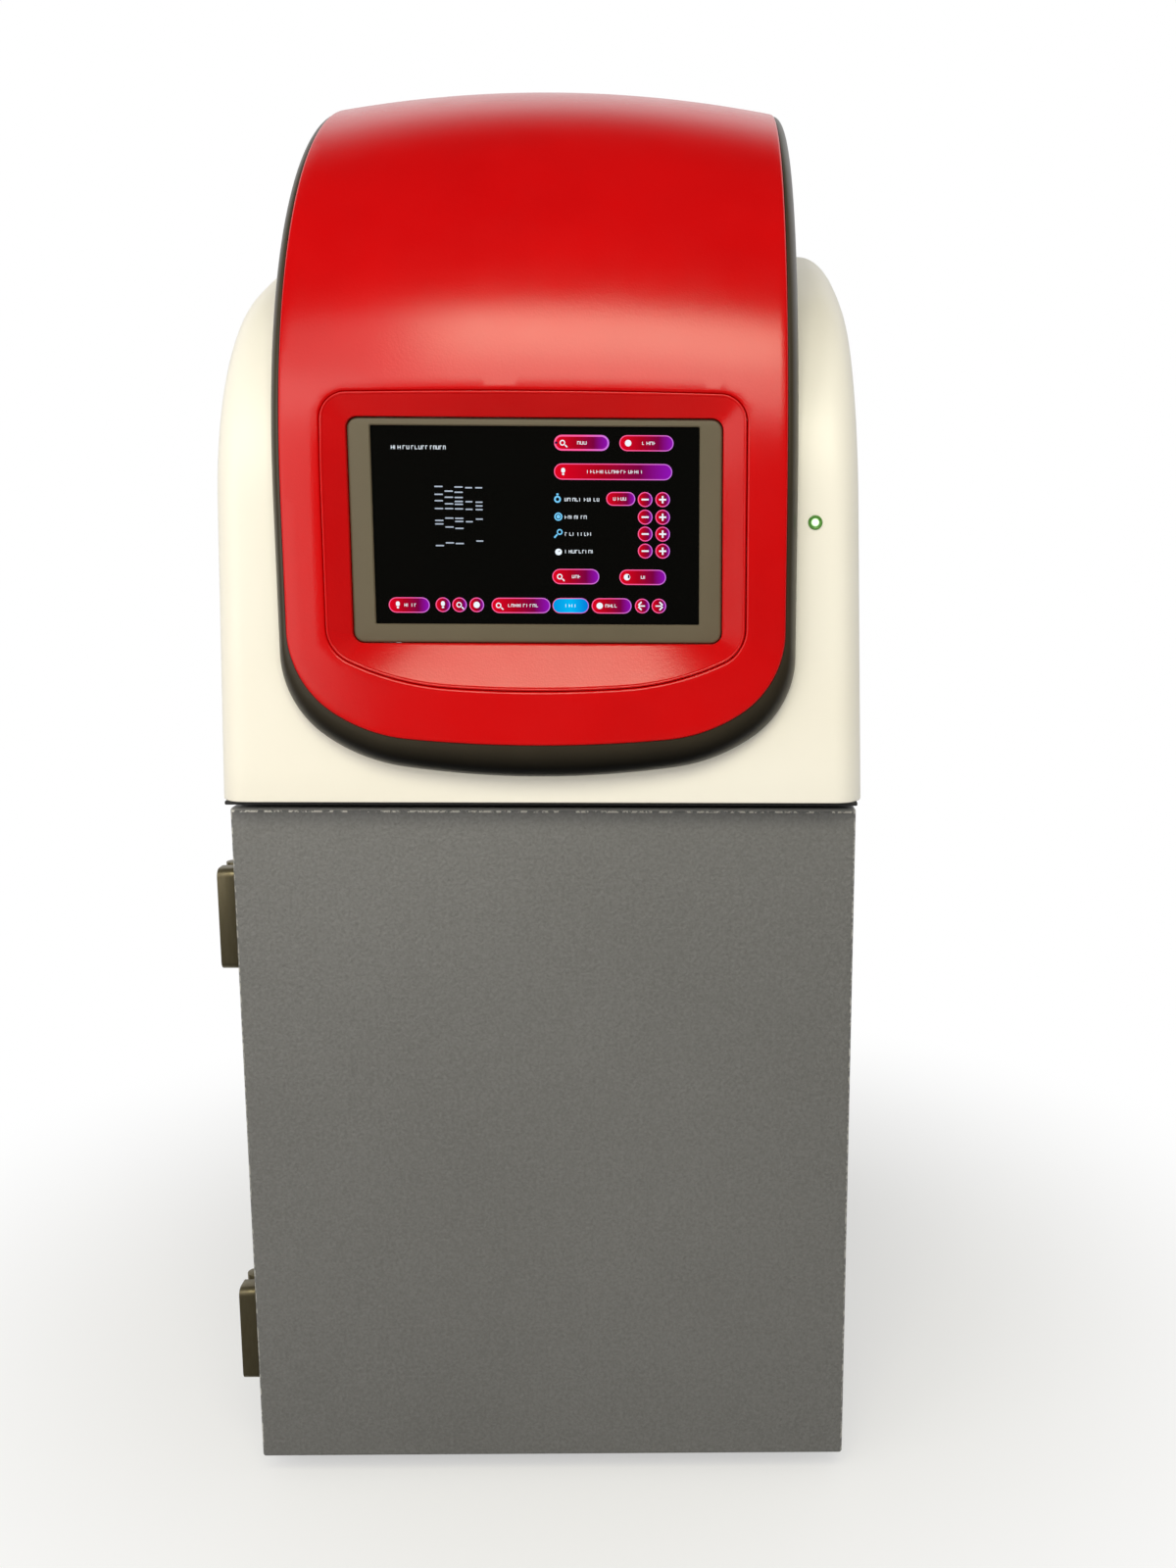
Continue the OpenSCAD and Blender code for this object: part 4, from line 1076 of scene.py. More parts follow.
def trim_section(edge, outline, upright):
    edge, outline = np.asarray(edge, float), np.asarray(outline, float)
    width = np.linalg.norm(outline - edge)
    across = (outline - edge) / width
    nz = along_visor([edge[1]])[0][3]
    buried = depth_to_hood(edge[1]) + float(crown_at(edge[0], nz)) + BURIED
    turns = np.linspace(0, math.pi / 2, 11)
    profile = [(-BEAD_INSIDE, BEAD_UNDER), (BEAD_EDGE, BEAD_UNDER)]
    profile += [(max(width * math.sin(turn), BEAD_EDGE), BEAD_START + BEAD_DROP * (1 - math.cos(turn)))
                for turn in turns]
    profile += [(width, buried), (-BEAD_INSIDE, buried)]
    if upright:
        y, z = along_visor([edge[1]])[0][:2]
        return [(edge[0] + across[0] * reach, y, z - depth) for reach, depth in profile]
    flat = np.array([edge + across * reach for reach, _ in profile])
    return [on_visor(point, depth)[0] for point, (_, depth) in zip(flat, profile)]


trim_flat = flattened(trim_shield)
stations = list(zip(shield_flat, trim_flat))
stations += [((visor_half_w, s), (trim_half_w, s)) for s in even_steps(shield_end, side_end, SIDE_STATIONS)]
print(len(stations), "trim stations on each half")

# %% Trim loft
right_sections = [trim_section(*station, upright=station is stations[-1]) for station in stations]
left_sections = [[(-x, y, z) for x, y, z in section] for section in right_sections[:0:-1]]
sections = left_sections + right_sections
Skin("trim_bead").add(*loft(sections)).finish("charcoal_trim", stands_for=["visor_trim"], smooth=55)

# %% [markdown]
# ## Screen insert
# The screen sits in a sunken insert of the same red. Its lip follows the visor's surface,
# and sloping walls lead down to the bezel. The lower wall leans back about 26 degrees, so it
# mirrors the key light towards the viewer. The walls end just proud of the bezel's face.
# Both outlines are given the same number of corners in matching portions, bottom, corner,
# side, corner and top, so the walls don't twist.

# %% Insert
LIP_SUNK, LIP_ROLL, LIP_FALL = 0.1, 0.35, 0.8
LIP_SKIRT = VISOR_WALL + 2
INSERT_PROUD, INSERT_GAP, INSERT_BEHIND, INSERT_FLANGE = 1.6, 0.3, 4, 3.5
RIM_ACROSS, RIM_DEEP = 0.2, 0.3
WALL_SHARES = (0.03, 0.1, 0.3, 0.5, 0.7, 0.9, 0.97, 1)
BEZEL_CORNER = 5
bezel_half, bezel_foot, bezel_top = bezel_high[0], bezel_low[2], bezel_high[2]
bezel_front = bezel_low[1]


def round_bezel(grown, y):
    """The bezel's outline, let out, with as many corners as the recess and in the same portions."""
    half, foot, top = bezel_half + grown, bezel_foot - grown, bezel_top + grown
    radius = BEZEL_CORNER + grown
    flat_end = half - radius
    bottom_end = ARC_STEPS[0] + ARC_STEPS[1]
    shares = [x / recess_shield[bottom_end][0] for x, _ in recess_shield[:bottom_end + 1]]
    bottom = [(flat_end * share, foot) for share in shares]
    corner = [(flat_end + radius * math.sin(turn), foot + radius * (1 - math.cos(turn)))
              for turn in even_steps(0, math.pi / 2, ARC_STEPS[2])]
    return at_y(whole(bottom + corner + upper_half(half, foot + radius, top, radius)), y)


def lip_row(inset, depth):
    return on_visor(offset_loop(recess_loop, inset), depth)


quarter = np.linspace(0, math.pi / 2, 6)
rows = [lip_row(0, LIP_SKIRT)]
rows += [lip_row(LIP_ROLL * (1 - math.cos(turn)), LIP_SUNK + LIP_ROLL * (1 - math.sin(turn)))
         for turn in quarter]
rows += [lip_row(LIP_ROLL + LIP_FALL * math.sin(turn), LIP_SUNK + 0.5 * LIP_FALL * (1 - math.cos(turn)))
         for turn in quarter[1:]]
insert_front, insert_back = bezel_front - INSERT_PROUD, bezel_front + INSERT_BEHIND
wall_top, wall_foot = rows[-1], np.array(round_bezel(INSERT_GAP + RIM_ACROSS, insert_front))
rows += [wall_top * (1 - share) + wall_foot * share for share in WALL_SHARES]
rows += [round_bezel(INSERT_GAP, insert_front + RIM_DEEP), round_bezel(INSERT_GAP, insert_back),
         round_bezel(INSERT_FLANGE, insert_back)]
Skin("screen_insert").add(*loft(rows, ring=True)).finish(
    "red_insert", stands_for=["screen_surround"], smooth=50)

# %% [markdown]
# ## Bezel
# The bezel is a shallow cap with a window. Its outer edge is rounded, its window has a fine
# chamfer that catches the light, and its skirt reaches back into the insert.
# It is a loft whose last section joins the first, which leaves the window open.

# %% Bezel ring
BEZEL_ROLL, WINDOW_CHAMFER, BEZEL_PLATE, BEZEL_WALL, SKIRT = 1.3, 0.5, 1.4, 1.6, 7.5
WINDOW_LOW, WINDOW_HIGH, WINDOW_CORNER = (-76.2, 458.8), (76.2, 550.2), 0.6
SMALLEST_CORNER = 0.4


def plate_row(low, high, radius, inset, y, steps):
    """A rounded rectangle, set in from two corners, whose own corners shrink with it."""
    (x0, z0), (x1, z1) = low, high
    return at_y(rounded_outline((x0 + inset, z0 + inset), (x1 - inset, z1 - inset),
                                max(radius - inset, SMALLEST_CORNER), steps), y)


def bezel_row(inset, y):
    return plate_row((-bezel_half, bezel_foot), (bezel_half, bezel_top), BEZEL_CORNER,
                     inset, bezel_front + y, 8)


def window_row(inset, y):
    return plate_row(WINDOW_LOW, WINDOW_HIGH, WINDOW_CORNER, inset, bezel_front + y, 8)


def rolled(row, roll, front):
    """Rows that carry an outline over a quarter turn, from its side on to its face."""
    return [row(roll * (1 - math.cos(turn)), front + roll * (1 - math.sin(turn))) for turn in quarter]


rows = [bezel_row(BEZEL_WALL, SKIRT), bezel_row(0, SKIRT), *rolled(bezel_row, BEZEL_ROLL, 0),
        window_row(-WINDOW_CHAMFER, 0), window_row(0, WINDOW_CHAMFER), window_row(0, BEZEL_PLATE),
        bezel_row(BEZEL_WALL, BEZEL_PLATE)]
Skin("bezel_moulding").add(*loft(rows, ring=True)).finish(
    "bezel_grey", stands_for=["screen_bezel"], smooth=40)

# %% [markdown]
# ## Indicator
# The green status light right of the visor is a domed lens in a plastic ring. Both are turned
# shapes: a section of radius and depth is carried round the axis as a loft of circles.

# %% Indicator
INDICATOR_DEPTH, LENS_R, LENS_PROUD, DOME = 3, 2.0, 0.3, 0.8
RING_SECTION = ((2.05, -INDICATOR_DEPTH), (3.4, -INDICATOR_DEPTH), (3.4, 0.4), (3.15, 0.75),
                (2.75, 0.8), (2.3, 0.65), (2.05, 0.3))
CIRCLE = [(math.cos(turn), math.sin(turn)) for turn in np.linspace(0, 2 * math.pi, 40, endpoint=False)]


def turned_rows(section):
    """Circles round the indicator's axis for a section of (radius, height above the hood)."""
    return [[(LED_AT[0] + radius * c, hood_low[1] - proud, LED_AT[1] + radius * s) for c, s in CIRCLE]
            for radius, proud in section]


Skin("indicator_ring").add(*loft(turned_rows(RING_SECTION), ring=True)).finish(
    "indicator_metal", stands_for=["led_bezel"], smooth=60)
dome = [(LENS_R * math.cos(turn), LENS_PROUD + DOME * math.sin(turn)) for turn in np.linspace(0, 1.45, 7)]
Skin("indicator_lens").add(*loft(turned_rows([(LENS_R, -INDICATOR_DEPTH), *dome]))).finish(
    "green_indicator", stands_for=["status_led"], smooth=60)

# %% [markdown]
# ## Recipes for repeats
# Screws, bands and seals repeat or follow a path, which is what Geometry Nodes are for.
# A `Recipe` is a geometry tree with named inputs. It always ends by realising its instances
# and setting the material, and `cook` runs it on one object and keeps the plain mesh.

# %% Recipes
class Recipe(Graph):
    """A geometry tree with named inputs that is run once on an object."""

    def __init__(self, name, sizes, **kinds):
        tree = bpy.data.node_groups.new(name, "GeometryNodeTree")
        super().__init__(tree)
        kinds = {"Geometry": "Geometry", **dict.fromkeys(sizes, "Float"), **kinds, "Material": "Material"}
        for label, kind in kinds.items():
            tree.interface.new_socket(label, in_out="INPUT", socket_type="NodeSocket" + kind)
        tree.interface.new_socket("Geometry", in_out="OUTPUT", socket_type="NodeSocketGeometry")
        self.entry = tree.nodes.new("NodeGroupInput")
        self.exit = tree.nodes.new("NodeGroupOutput")

    def given(self, label):
        return Wire(self, self.entry.outputs[label])

    def named(self, label, kind):
        return self.node("GeometryNodeInputNamedAttribute", {"data_type": kind}, {"Name": label})

    def result(self, geometry):
        whole = self.node("GeometryNodeRealizeInstances", inputs=[geometry])
        dressed = self.node("GeometryNodeSetMaterial", inputs={
            "Geometry": whole, "Material": self.given("Material")})
        self.tree.links.new(dressed.socket, self.exit.inputs[0])

    def cook(self, piece, values):
        modifier = piece.modifiers.new(self.tree.name, "NODES")
        modifier.node_group = self.tree
        for item in self.tree.interface.items_tree:
            if item.in_out == "INPUT" and item.name in values:
                modifier[item.identifier] = values[item.name]
        return baked(piece)


def point_set(name, places_mm, attributes):
    """An object of loose points in millimetres, with one value or vector per point."""
    mesh = bpy.data.meshes.new(name)
    mesh.from_pydata(in_metres(places_mm), [], [])
    for label, (kind, values) in attributes.items():
        layer = mesh.attributes.new(label, kind, "POINT")
        layer.data.foreach_set("vector" if kind == "FLOAT_VECTOR" else "value", np.ravel(values))
    return put_in_scene(name, mesh)


print("recipes can be cooked")

# %% [markdown]
# ## What the display shows
# The screen shows a gel on the left and a panel of buttons on the right, all drawn as thin
# lit shapes just ahead of the glass. Buttons are stadium shapes whose colour runs from red to
# purple, so each corner carries an attribute that says how far across its button it lies.

# %% Display materials
LIT_STRENGTH = 1.0
FLAT_DIM = 0.86
BUTTON_STOPS = [(0.0, paint(214, 0, 30)), (0.4, paint(160, 0, 26)),
                (0.72, paint(116, 0, 60)), (1.0, paint(136, 16, 176))]
SAVE_STOPS = [(0.0, paint(0, 140, 214)), (0.5, paint(0, 176, 236)), (1.0, paint(0, 112, 206))]
EDGE_STOPS = [(0.0, paint(250, 96, 150)), (0.5, paint(255, 90, 160)), (1.0, paint(196, 116, 226))]


def lit(name, colour_of, colours):
    made = Finish(name)
    colour = colour_of(made, colours)
    made.surface({"Base Color": made.mix(0.9, colour, paint(0, 0, 0)), "Emission Color": colour,
                  "Roughness": made.noise(200, 2) * 0.04 + 0.12})
    made.shader.inputs["Emission Strength"].default_value = LIT_STRENGTH
    return made.material


def across_button(made, stops):
    share = made.node("ShaderNodeAttribute", {"attribute_name": "across"}, output="Fac")
    return made.node("ShaderNodeValToRGB", {"stops": stops}, [share])


def flat_light(made, colour):
    dimmed = tuple(FLAT_DIM * part for part in colour[:3]) + (1,)
    return made.mix(made.noise(900, 1), colour, dimmed)


button_light = lit("button_light", across_button, BUTTON_STOPS)
save_light = lit("save_light", across_button, SAVE_STOPS)
edge_light = lit("button_edge_light", across_button, EDGE_STOPS)
band_light = lit("band_light", flat_light, paint(176, 188, 204))
white_light = lit("caption_light", flat_light, paint(236, 246, 255))
cyan_light = lit("icon_light", flat_light, paint(120, 208, 255))
dark_mark = lit("icon_shade", flat_light, paint(44, 20, 60))
print("display lights mixed")

# %% Display shapes
GLASS_SUNK, BEDDED = 1.5, 0.02
PEN, STROKE_GAP, STROKE_CORNER = 0.27, 0.02, 0.05
LETTER_SPACE, WORD_SPACE, LAST_LETTER = 0.55, 1.2, 0.6
glass_face = bezel_front + GLASS_SUNK


def on_display(outline):
    return [(WINDOW_LOW[0] + x, WINDOW_HIGH[1] - y) for x, y in outline]


def full_round(x0, y0, x1, y1):
    """Just under half the shorter side, so that no two corners meet."""
    return min(x1 - x0, y1 - y0) / 2 - 0.01


class Drawing(Skin):
    """Thin lit shapes on the display, placed in millimetres from its top left corner."""

    merged = False

    def __init__(self, name, ahead):
        super().__init__(name)
        self.depths = (glass_face - ahead, glass_face + BEDDED)
        self.across = []

    def keep(self, corners, faces):
        x = [corner[0] for corner in corners]
        low, high = min(x), max(x)
        self.across.extend((value - low) / (high - low) for value in x)
        return self.add(corners, faces)

    def plate(self, outline):
        return self.keep(*prism(on_display(outline), *self.depths))

    def bar(self, x0, y0, x1, y1, radius=None):
        radius = full_round(x0, y0, x1, y1) if radius is None else radius
        return self.plate(rounded_outline((x0, y0), (x1, y1), radius, 5))

    def ring(self, x0, y0, x1, y1, thick):
        radius = full_round(x0, y0, x1, y1)
        outer = rounded_outline((x0, y0), (x1, y1), radius, 5)
        inner = rounded_outline((x0 + thick, y0 + thick), (x1 - thick, y1 - thick), radius - thick, 5)
        return self.keep(*frame_prism(on_display(outer), on_display(inner), *self.depths))

    def slanted(self, start, end, thick):
        (x0, y0), (x1, y1) = start, end
        length = math.hypot(x1 - x0, y1 - y0)
        ux, uy = (x1 - x0) / length * thick / 2, (y1 - y0) / length * thick / 2
        return self.plate([(x0 - uy, y0 + ux), (x1 - uy, y1 + ux), (x1 + uy, y1 - ux), (x0 + uy, y0 - ux)])

    def stroke(self, x0, y0, x1, y1):
        return self.bar(x0, y0, x1, y1, STROKE_CORNER)

    def caption(self, x0, x1, y, height, draw):
        """A row of upright strokes, some joined by a short level one, that stands for a word."""
        x, upper, lower = x0, y - height / 2, y + height / 2
        while x < x1 - LAST_LETTER:
            width = draw.uniform(0.5, 0.75) * height
            self.stroke(x, upper, x + PEN, lower)
            if draw.random() < 0.75:
                level = draw.choice((upper, y - PEN / 2, lower - PEN))
                self.stroke(x + PEN + STROKE_GAP, level, x + width - STROKE_GAP, level + PEN)
                if draw.random() < 0.5:
                    self.stroke(x + width, upper, x + width + PEN, lower)
            x += width + (LETTER_SPACE if draw.random() > 0.12 else WORD_SPACE)

    def shine(self, material):
        self.finish("display_glass", material=material)
        layer = bpy.data.objects[self.name].data.attributes.new("across", "FLOAT", "POINT")
        layer.data.foreach_set("value", self.across)


print("drawings lie", GLASS_SUNK, "mm behind the bezel's face")

# %% Buttons
BUTTONS = [(84.8, 3.8, 110.4, 11.0), (115.1, 3.8, 140.3, 11.0), (84.6, 16.8, 139.7, 24.2),
           (108.8, 29.7, 122.4, 36.0), (83.2, 65.4, 105.3, 72.5), (114.8, 65.6, 136.8, 72.7),
           (6.0, 79.0, 25.3, 86.2), (54.4, 79.0, 82.1, 86.2), (101.6, 79.0, 120.5, 86.2)]
SAVE = (83.1, 79.0, 100.3, 86.2)
ROUND_R = 3.45
MINUS_X, PLUS_X, STEP_ROWS = 127.0, 135.2, (33.1, 41.2, 49.0, 56.9)
TOOLS = [(31.5, 82.4), (39.3, 82.4), (47.4, 82.4)]
ARROWS = [(125.5, 82.6), (133.4, 82.6)]
CHOSEN_EDGE, BUTTON_EDGE, SAVE_EDGE = 0.8, 0.42, 0.3
step_buttons = [(x, y) for y in STEP_ROWS for x in (MINUS_X, PLUS_X)]
rounds = [(x - ROUND_R, y - ROUND_R, x + ROUND_R, y + ROUND_R) for x, y in step_buttons + TOOLS + ARROWS]
faces_drawn, edges_drawn = Drawing("display_buttons", 0.05), Drawing("display_button_edges", 0.08)
for shape in BUTTONS + rounds:
    faces_drawn.bar(*shape)
    edges_drawn.ring(*shape, CHOSEN_EDGE if shape is BUTTONS[0] else BUTTON_EDGE)
save_drawn = Drawing("display_save_button", 0.05).bar(*SAVE)
edges_drawn.ring(*SAVE, SAVE_EDGE)
print(len(BUTTONS) + len(rounds) + 1, "buttons drawn")

# %% [markdown]
# ## Captions and icons
# A caption says nothing, so it isn't text: a seeded random run of upright and level strokes
# has the rhythm of words and stays the same on every run. Icons are rings, bars and
# slanted strokes, kept to the few marks that any panel shares, such as plus, minus and arrows.

# %% Captions
TITLE_HEIGHT, BUTTON_TEXT, SETTING_TEXT = 1.7, 1.45, 1.55
CAPTION_SPANS = [(0.42, 0.62), (0.42, 0.66), (0.28, 0.76), (0.24, 0.74), (0.42, 0.6), (0.46, 0.58),
                 (0.38, 0.72), (0.28, 0.78), (0.34, 0.72), (0.36, 0.72)]
SETTING_X, SETTING_ENDS = 89.4, [(105.7, 33.3), (100.3, 41.4), (102.9, 49.2), (103.6, 57.3)]
draw = random.Random(11)
marks = Drawing("display_captions", 0.11)
marks.caption(9.3, 34.6, 9.9, TITLE_HEIGHT, draw)
for (x0, y0, x1, y1), (start, end) in zip(BUTTONS + [SAVE], CAPTION_SPANS):
    width = x1 - x0
    marks.caption(x0 + width * start, x0 + width * end, (y0 + y1) / 2, BUTTON_TEXT, draw)
for end, y in SETTING_ENDS:
    marks.caption(SETTING_X, end, y, SETTING_TEXT, draw)
print(1 + len(CAPTION_SPANS) + len(SETTING_ENDS), "captions:", len(marks.faces), "faces")

# %% Icons
SIGN_REACH, SIGN_HALF, SIGN_GAP = 1.7, 0.38, 0.4
BUTTON_ICONS = [(88.9, 7.4), (119.2, 7.4), (88.9, 20.5), (86.9, 69.0), (118.4, 69.1),
                (10.3, 82.6), (57.9, 82.6), (105.4, 82.6)]
for x, y in step_buttons:
    marks.bar(x - SIGN_REACH, y - SIGN_HALF, x + SIGN_REACH, y + SIGN_HALF, 0.2)
    if x == PLUS_X:
        marks.bar(x - SIGN_HALF, y - SIGN_REACH, x + SIGN_HALF, y - SIGN_GAP, 0.15)
        marks.bar(x - SIGN_HALF, y + SIGN_GAP, x + SIGN_HALF, y + SIGN_REACH, 0.15)
for (x, y), side in zip(ARROWS, (-1, 1)):
    tip = x + 2.0 * side
    marks.bar(x - 1.6, y - 0.3, x + 1.3, y + 0.3, 0.12)
    for way in (-1, 1):
        marks.slanted((tip - 1.7 * side, y + 1.9 * way), (tip - 0.2 * side, y + 0.35 * way), 0.7)
for k, (x, y) in enumerate(BUTTON_ICONS + TOOLS):
    if k % 3 == 0:
        marks.ring(x - 1.5, y - 1.3, x + 1.1, y + 1.3, 0.5)
        marks.slanted((x + 1.0, y + 1.0), (x + 2.0, y + 2.0), 0.6)
    elif k % 3 == 1:
        marks.bar(x - 1.5, y - 1.5, x + 1.5, y + 1.5)
    else:
        marks.bar(x - 0.9, y - 1.7, x + 0.9, y + 0.6).bar(x - 0.5, y + 0.8, x + 0.5, y + 1.6, 0.15)
marks.bar(84.7, 56.0, 87.9, 59.0)
icons = Drawing("display_icons", 0.11)
icons.ring(84.5, 31.6, 87.7, 34.8, 0.75).bar(85.6, 30.5, 86.6, 31.4, 0.2)
icons.ring(84.5, 39.3, 88.3, 43.1, 0.6).bar(85.5, 40.3, 87.3, 42.1)
icons.ring(85.6, 46.9, 88.3, 49.6, 0.55).slanted((85.8, 49.4), (84.4, 50.9), 0.7)
shades = Drawing("display_icon_shades", 0.14)
shades.bar(85.2, 6.9, 86.4, 7.9, 0.2).bar(118.8, 68.1, 119.6, 69.6, 0.3)
shades.slanted((86.3, 57.5), (87.0, 56.8), 0.35)
for piece, material in ((faces_drawn, button_light), (save_drawn, save_light), (edges_drawn, edge_light),
                        (marks, white_light), (icons, cyan_light), (shades, dark_mark)):
    piece.shine(material)

# %% [markdown]
# ## Gel bands
# A gel image is a few lanes of short bright bars. Every band is a point that carries its width
# and is given the same rounded bar, so the whole gel is one small recipe.

# %% Gel bands
BANDS = {
    30.8: (27.4, 31.0, 33.9, 37.5, 43.0, 44.6, 54.6), 35.5: (29.5, 32.3, 35.3, 37.5, 41.9, 46.0, 53.3),
    40.1: (27.6, 30.0, 32.4, 34.2, 35.5, 37.6, 42.0, 43.4, 46.6, 53.6), 44.8: (27.9, 34.3, 37.8, 43.5),
    49.5: (27.9, 34.5, 36.2, 37.9, 42.3, 52.4)}
BAND_LENGTH, BAND_HEIGHT, BAND_PROUD, BAND_DROP = 3.9, 0.6, 0.12, 0.25
BAND_ROUND, WELD = 0.45, 0.002
NARROW_FROM, NARROW = 42, 0.85
bright = [(x, y + BAND_DROP) for x, rows in BANDS.items() for y in rows]
centres = at_y(on_display(bright), glass_face)
widths = [NARROW if x > NARROW_FROM else 1.0 for x, _ in bright]
bands = point_set("gel_bands", centres, {"width": ("FLOAT", widths)})
recipe = Recipe("band_recipe", ("Length", "Height"))
outline = recipe.node("GeometryNodeCurvePrimitiveQuadrilateral", inputs={
    "Width": recipe.given("Length"), "Height": recipe.given("Height")})
rounded = recipe.node("GeometryNodeFilletCurve", {"mode": "POLY"}, {
    "Curve": outline, "Count": 3, "Radius": recipe.given("Height") * BAND_ROUND})
profile = recipe.node("GeometryNodeFillCurve", {"mode": "NGONS"}, {"Curve": rounded})
raised = recipe.node("GeometryNodeExtrudeMesh", inputs={"Mesh": profile, "Offset Scale": BAND_PROUD * MM})
back = recipe.node("GeometryNodeFlipFaces", inputs=[profile])
both = recipe.node("GeometryNodeJoinGeometry", inputs=[raised])
recipe.tree.links.new(back.socket, both.socket.node.inputs[0])
closed = recipe.node("GeometryNodeMergeByDistance", inputs={"Geometry": both, "Distance": WELD * MM})
turned = recipe.node("GeometryNodeTransform", inputs={"Geometry": closed, "Rotation": (math.pi / 2, 0, 0)})
placed = recipe.node("GeometryNodeInstanceOnPoints", inputs={
    "Points": recipe.given("Geometry"), "Instance": turned,
    "Scale": recipe.node("ShaderNodeCombineXYZ", inputs=[recipe.named("width", "FLOAT"), 1.0, 1.0])})
recipe.result(placed)
recipe.cook(bands, {"Length": BAND_LENGTH * MM, "Height": BAND_HEIGHT * MM, "Material": band_light})
settle(bands)
print(len(centres), "bands:", len(bands.data.polygons), "faces")

# %% [markdown]
# ## Screws
# The rear cover and the cabinet's sides are held by pan head screws with a cross recess. One
# recipe cuts two bars out of a short cone and stands the result on every point, turned to the
# way that point faces. The second bar differs a little in size from the first, because
# a cut whose faces lie exactly in those of another one can leave the head open.

# %% Screws
COVER_FACE, SIDE_FACE = 219.5, 155.0
COVER_SCREWS = ((141, 381), (141, 470), (141, 548), (96, 662))
HEAD_TAPER, BAR_REACH = 0.72, 1.1
screw_places = [((side * x, COVER_FACE, z), (0, 1, 0)) for side in (-1, 1) for x, z in COVER_SCREWS]
screw_places += [((side * SIDE_FACE, y, z), (side, 0, 0))
                 for side in (-1, 1) for y in (-120, 40, 205) for z in (26, 356)]
screws = point_set("cabinet_screws", [place for place, _ in screw_places],
                   {"facing": ("FLOAT_VECTOR", [facing for _, facing in screw_places])})
recipe = Recipe("screw_recipe", ("Radius", "Height", "Slot"))
radius, tall, slot_width = (recipe.given(label) for label in ("Radius", "Height", "Slot"))
head = recipe.node("GeometryNodeMeshCone", inputs={
    "Vertices": 32, "Radius Top": radius * HEAD_TAPER, "Radius Bottom": radius, "Depth": tall})
for sizes in ((radius * BAR_REACH, slot_width, tall), (slot_width * 0.98, radius * 1.08, tall * 1.1)):
    bar = recipe.node("GeometryNodeMeshCube", inputs={
        "Size": recipe.node("ShaderNodeCombineXYZ", inputs=list(sizes))})
    raised_bar = recipe.node("GeometryNodeTransform", inputs={
        "Geometry": bar, "Translation": recipe.node("ShaderNodeCombineXYZ", inputs=[0.0, 0.0, tall])})
    head = recipe.node("GeometryNodeMeshBoolean", {"operation": "DIFFERENCE"}, {0: head, 1: raised_bar})
turned = recipe.node("FunctionNodeAlignRotationToVector", {"axis": "Z"}, {
    "Vector": recipe.named("facing", "FLOAT_VECTOR")})
recipe.result(recipe.node("GeometryNodeInstanceOnPoints", inputs={
    "Points": recipe.given("Geometry"), "Instance": head, "Rotation": turned}))
recipe.cook(screws, {"Radius": 3.1 * MM, "Height": 1.3 * MM, "Slot": 0.8 * MM,
                     "Material": FINISHES["zinc_steel"].material})
settle(screws)
print(len(screw_places), "screws:", len(screws.data.polygons), "faces")

# %% [markdown]
# ## Foam seal
# A strip of foam runs round the loading opening. It follows one closed path, so its recipe
# sweeps a rounded section along a rectangle whose corners are filleted.

# %% Foam seal
SEAL_WIDTH = 5.0
CORNER_SHARE, FOAM_SHARE = 1.4, 0.4
seal_low, seal_high = box_mm("door_seal")
seal_across, seal_thick, seal_up = seal_high - seal_low
seal = point_set("foam_seal", [(0, 0, 0)], {})
recipe = Recipe("seal_recipe", ("Across", "Up", "Width", "Thickness"), Place="Vector")


def filleted(width, height, radius, count):
    shape = recipe.node("GeometryNodeCurvePrimitiveQuadrilateral", inputs={
        "Width": width, "Height": height})
    return recipe.node("GeometryNodeFilletCurve", {"mode": "POLY"}, {
        "Curve": shape, "Count": count, "Radius": radius})


wide_path, tall_path, strip_width, strip_thick = (
    recipe.given(label) for label in ("Across", "Up", "Width", "Thickness"))
swept = recipe.node("GeometryNodeCurveToMesh", inputs={
    "Curve": filleted(wide_path, tall_path, strip_width * CORNER_SHARE, 8),
    "Profile Curve": filleted(strip_width, strip_thick, strip_thick * FOAM_SHARE, 4)})
recipe.result(recipe.node("GeometryNodeTransform", inputs={
    "Geometry": swept, "Rotation": (math.pi / 2, 0, 0), "Translation": recipe.given("Place")}))
recipe.cook(seal, {
    "Across": (seal_across - SEAL_WIDTH) * MM, "Up": (seal_up - SEAL_WIDTH) * MM,
    "Width": SEAL_WIDTH * MM, "Thickness": seal_thick * MM,
    "Place": (seal_low + seal_high) / 2 * MM, "Material": FINISHES["foam_seal"].material})
settle(seal, "root", ["door_seal"])
print("foam seal:", [round(size / MM, 2) for size in seal.dimensions], "mm")

# %% [markdown]
# ## Door skin
# The door is a folded steel tray, open at the back. Its front folds have a radius of about
# two millimetres, which is what catches the light along the top. It is a loft that starts with
# the inner face, turns round the open rim and ends with the front face.

# %% Door tray
DOOR_FOLD, DOOR_SHEET, DOOR_CORNER = 2.0, 1.5, 1.6


def door_row(inset, y):
    return plate_row(door_low[::2], door_high[::2], DOOR_CORNER, inset, y, 5)


front, back = door_low[1], door_high[1]
rows = [door_row(DOOR_SHEET, front + DOOR_SHEET), door_row(DOOR_SHEET, back), door_row(0, back),
        *rolled(door_row, DOOR_FOLD, front)]
Skin("door_tray").add(*loft(rows)).finish(
    "grey_powder_coat", "door", ["door_skin"], 50, FINISHES["door_powder_coat"].material)

# %% [markdown]
# ## Softening the plain parts
# Sheet edges, castings and housings all end in a small radius. `soften` takes a copy of a packed
# part, merges its doubled corners, joins the flat triangles back into whole faces, and bevels
# every edge sharper than 40 degrees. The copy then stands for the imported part.

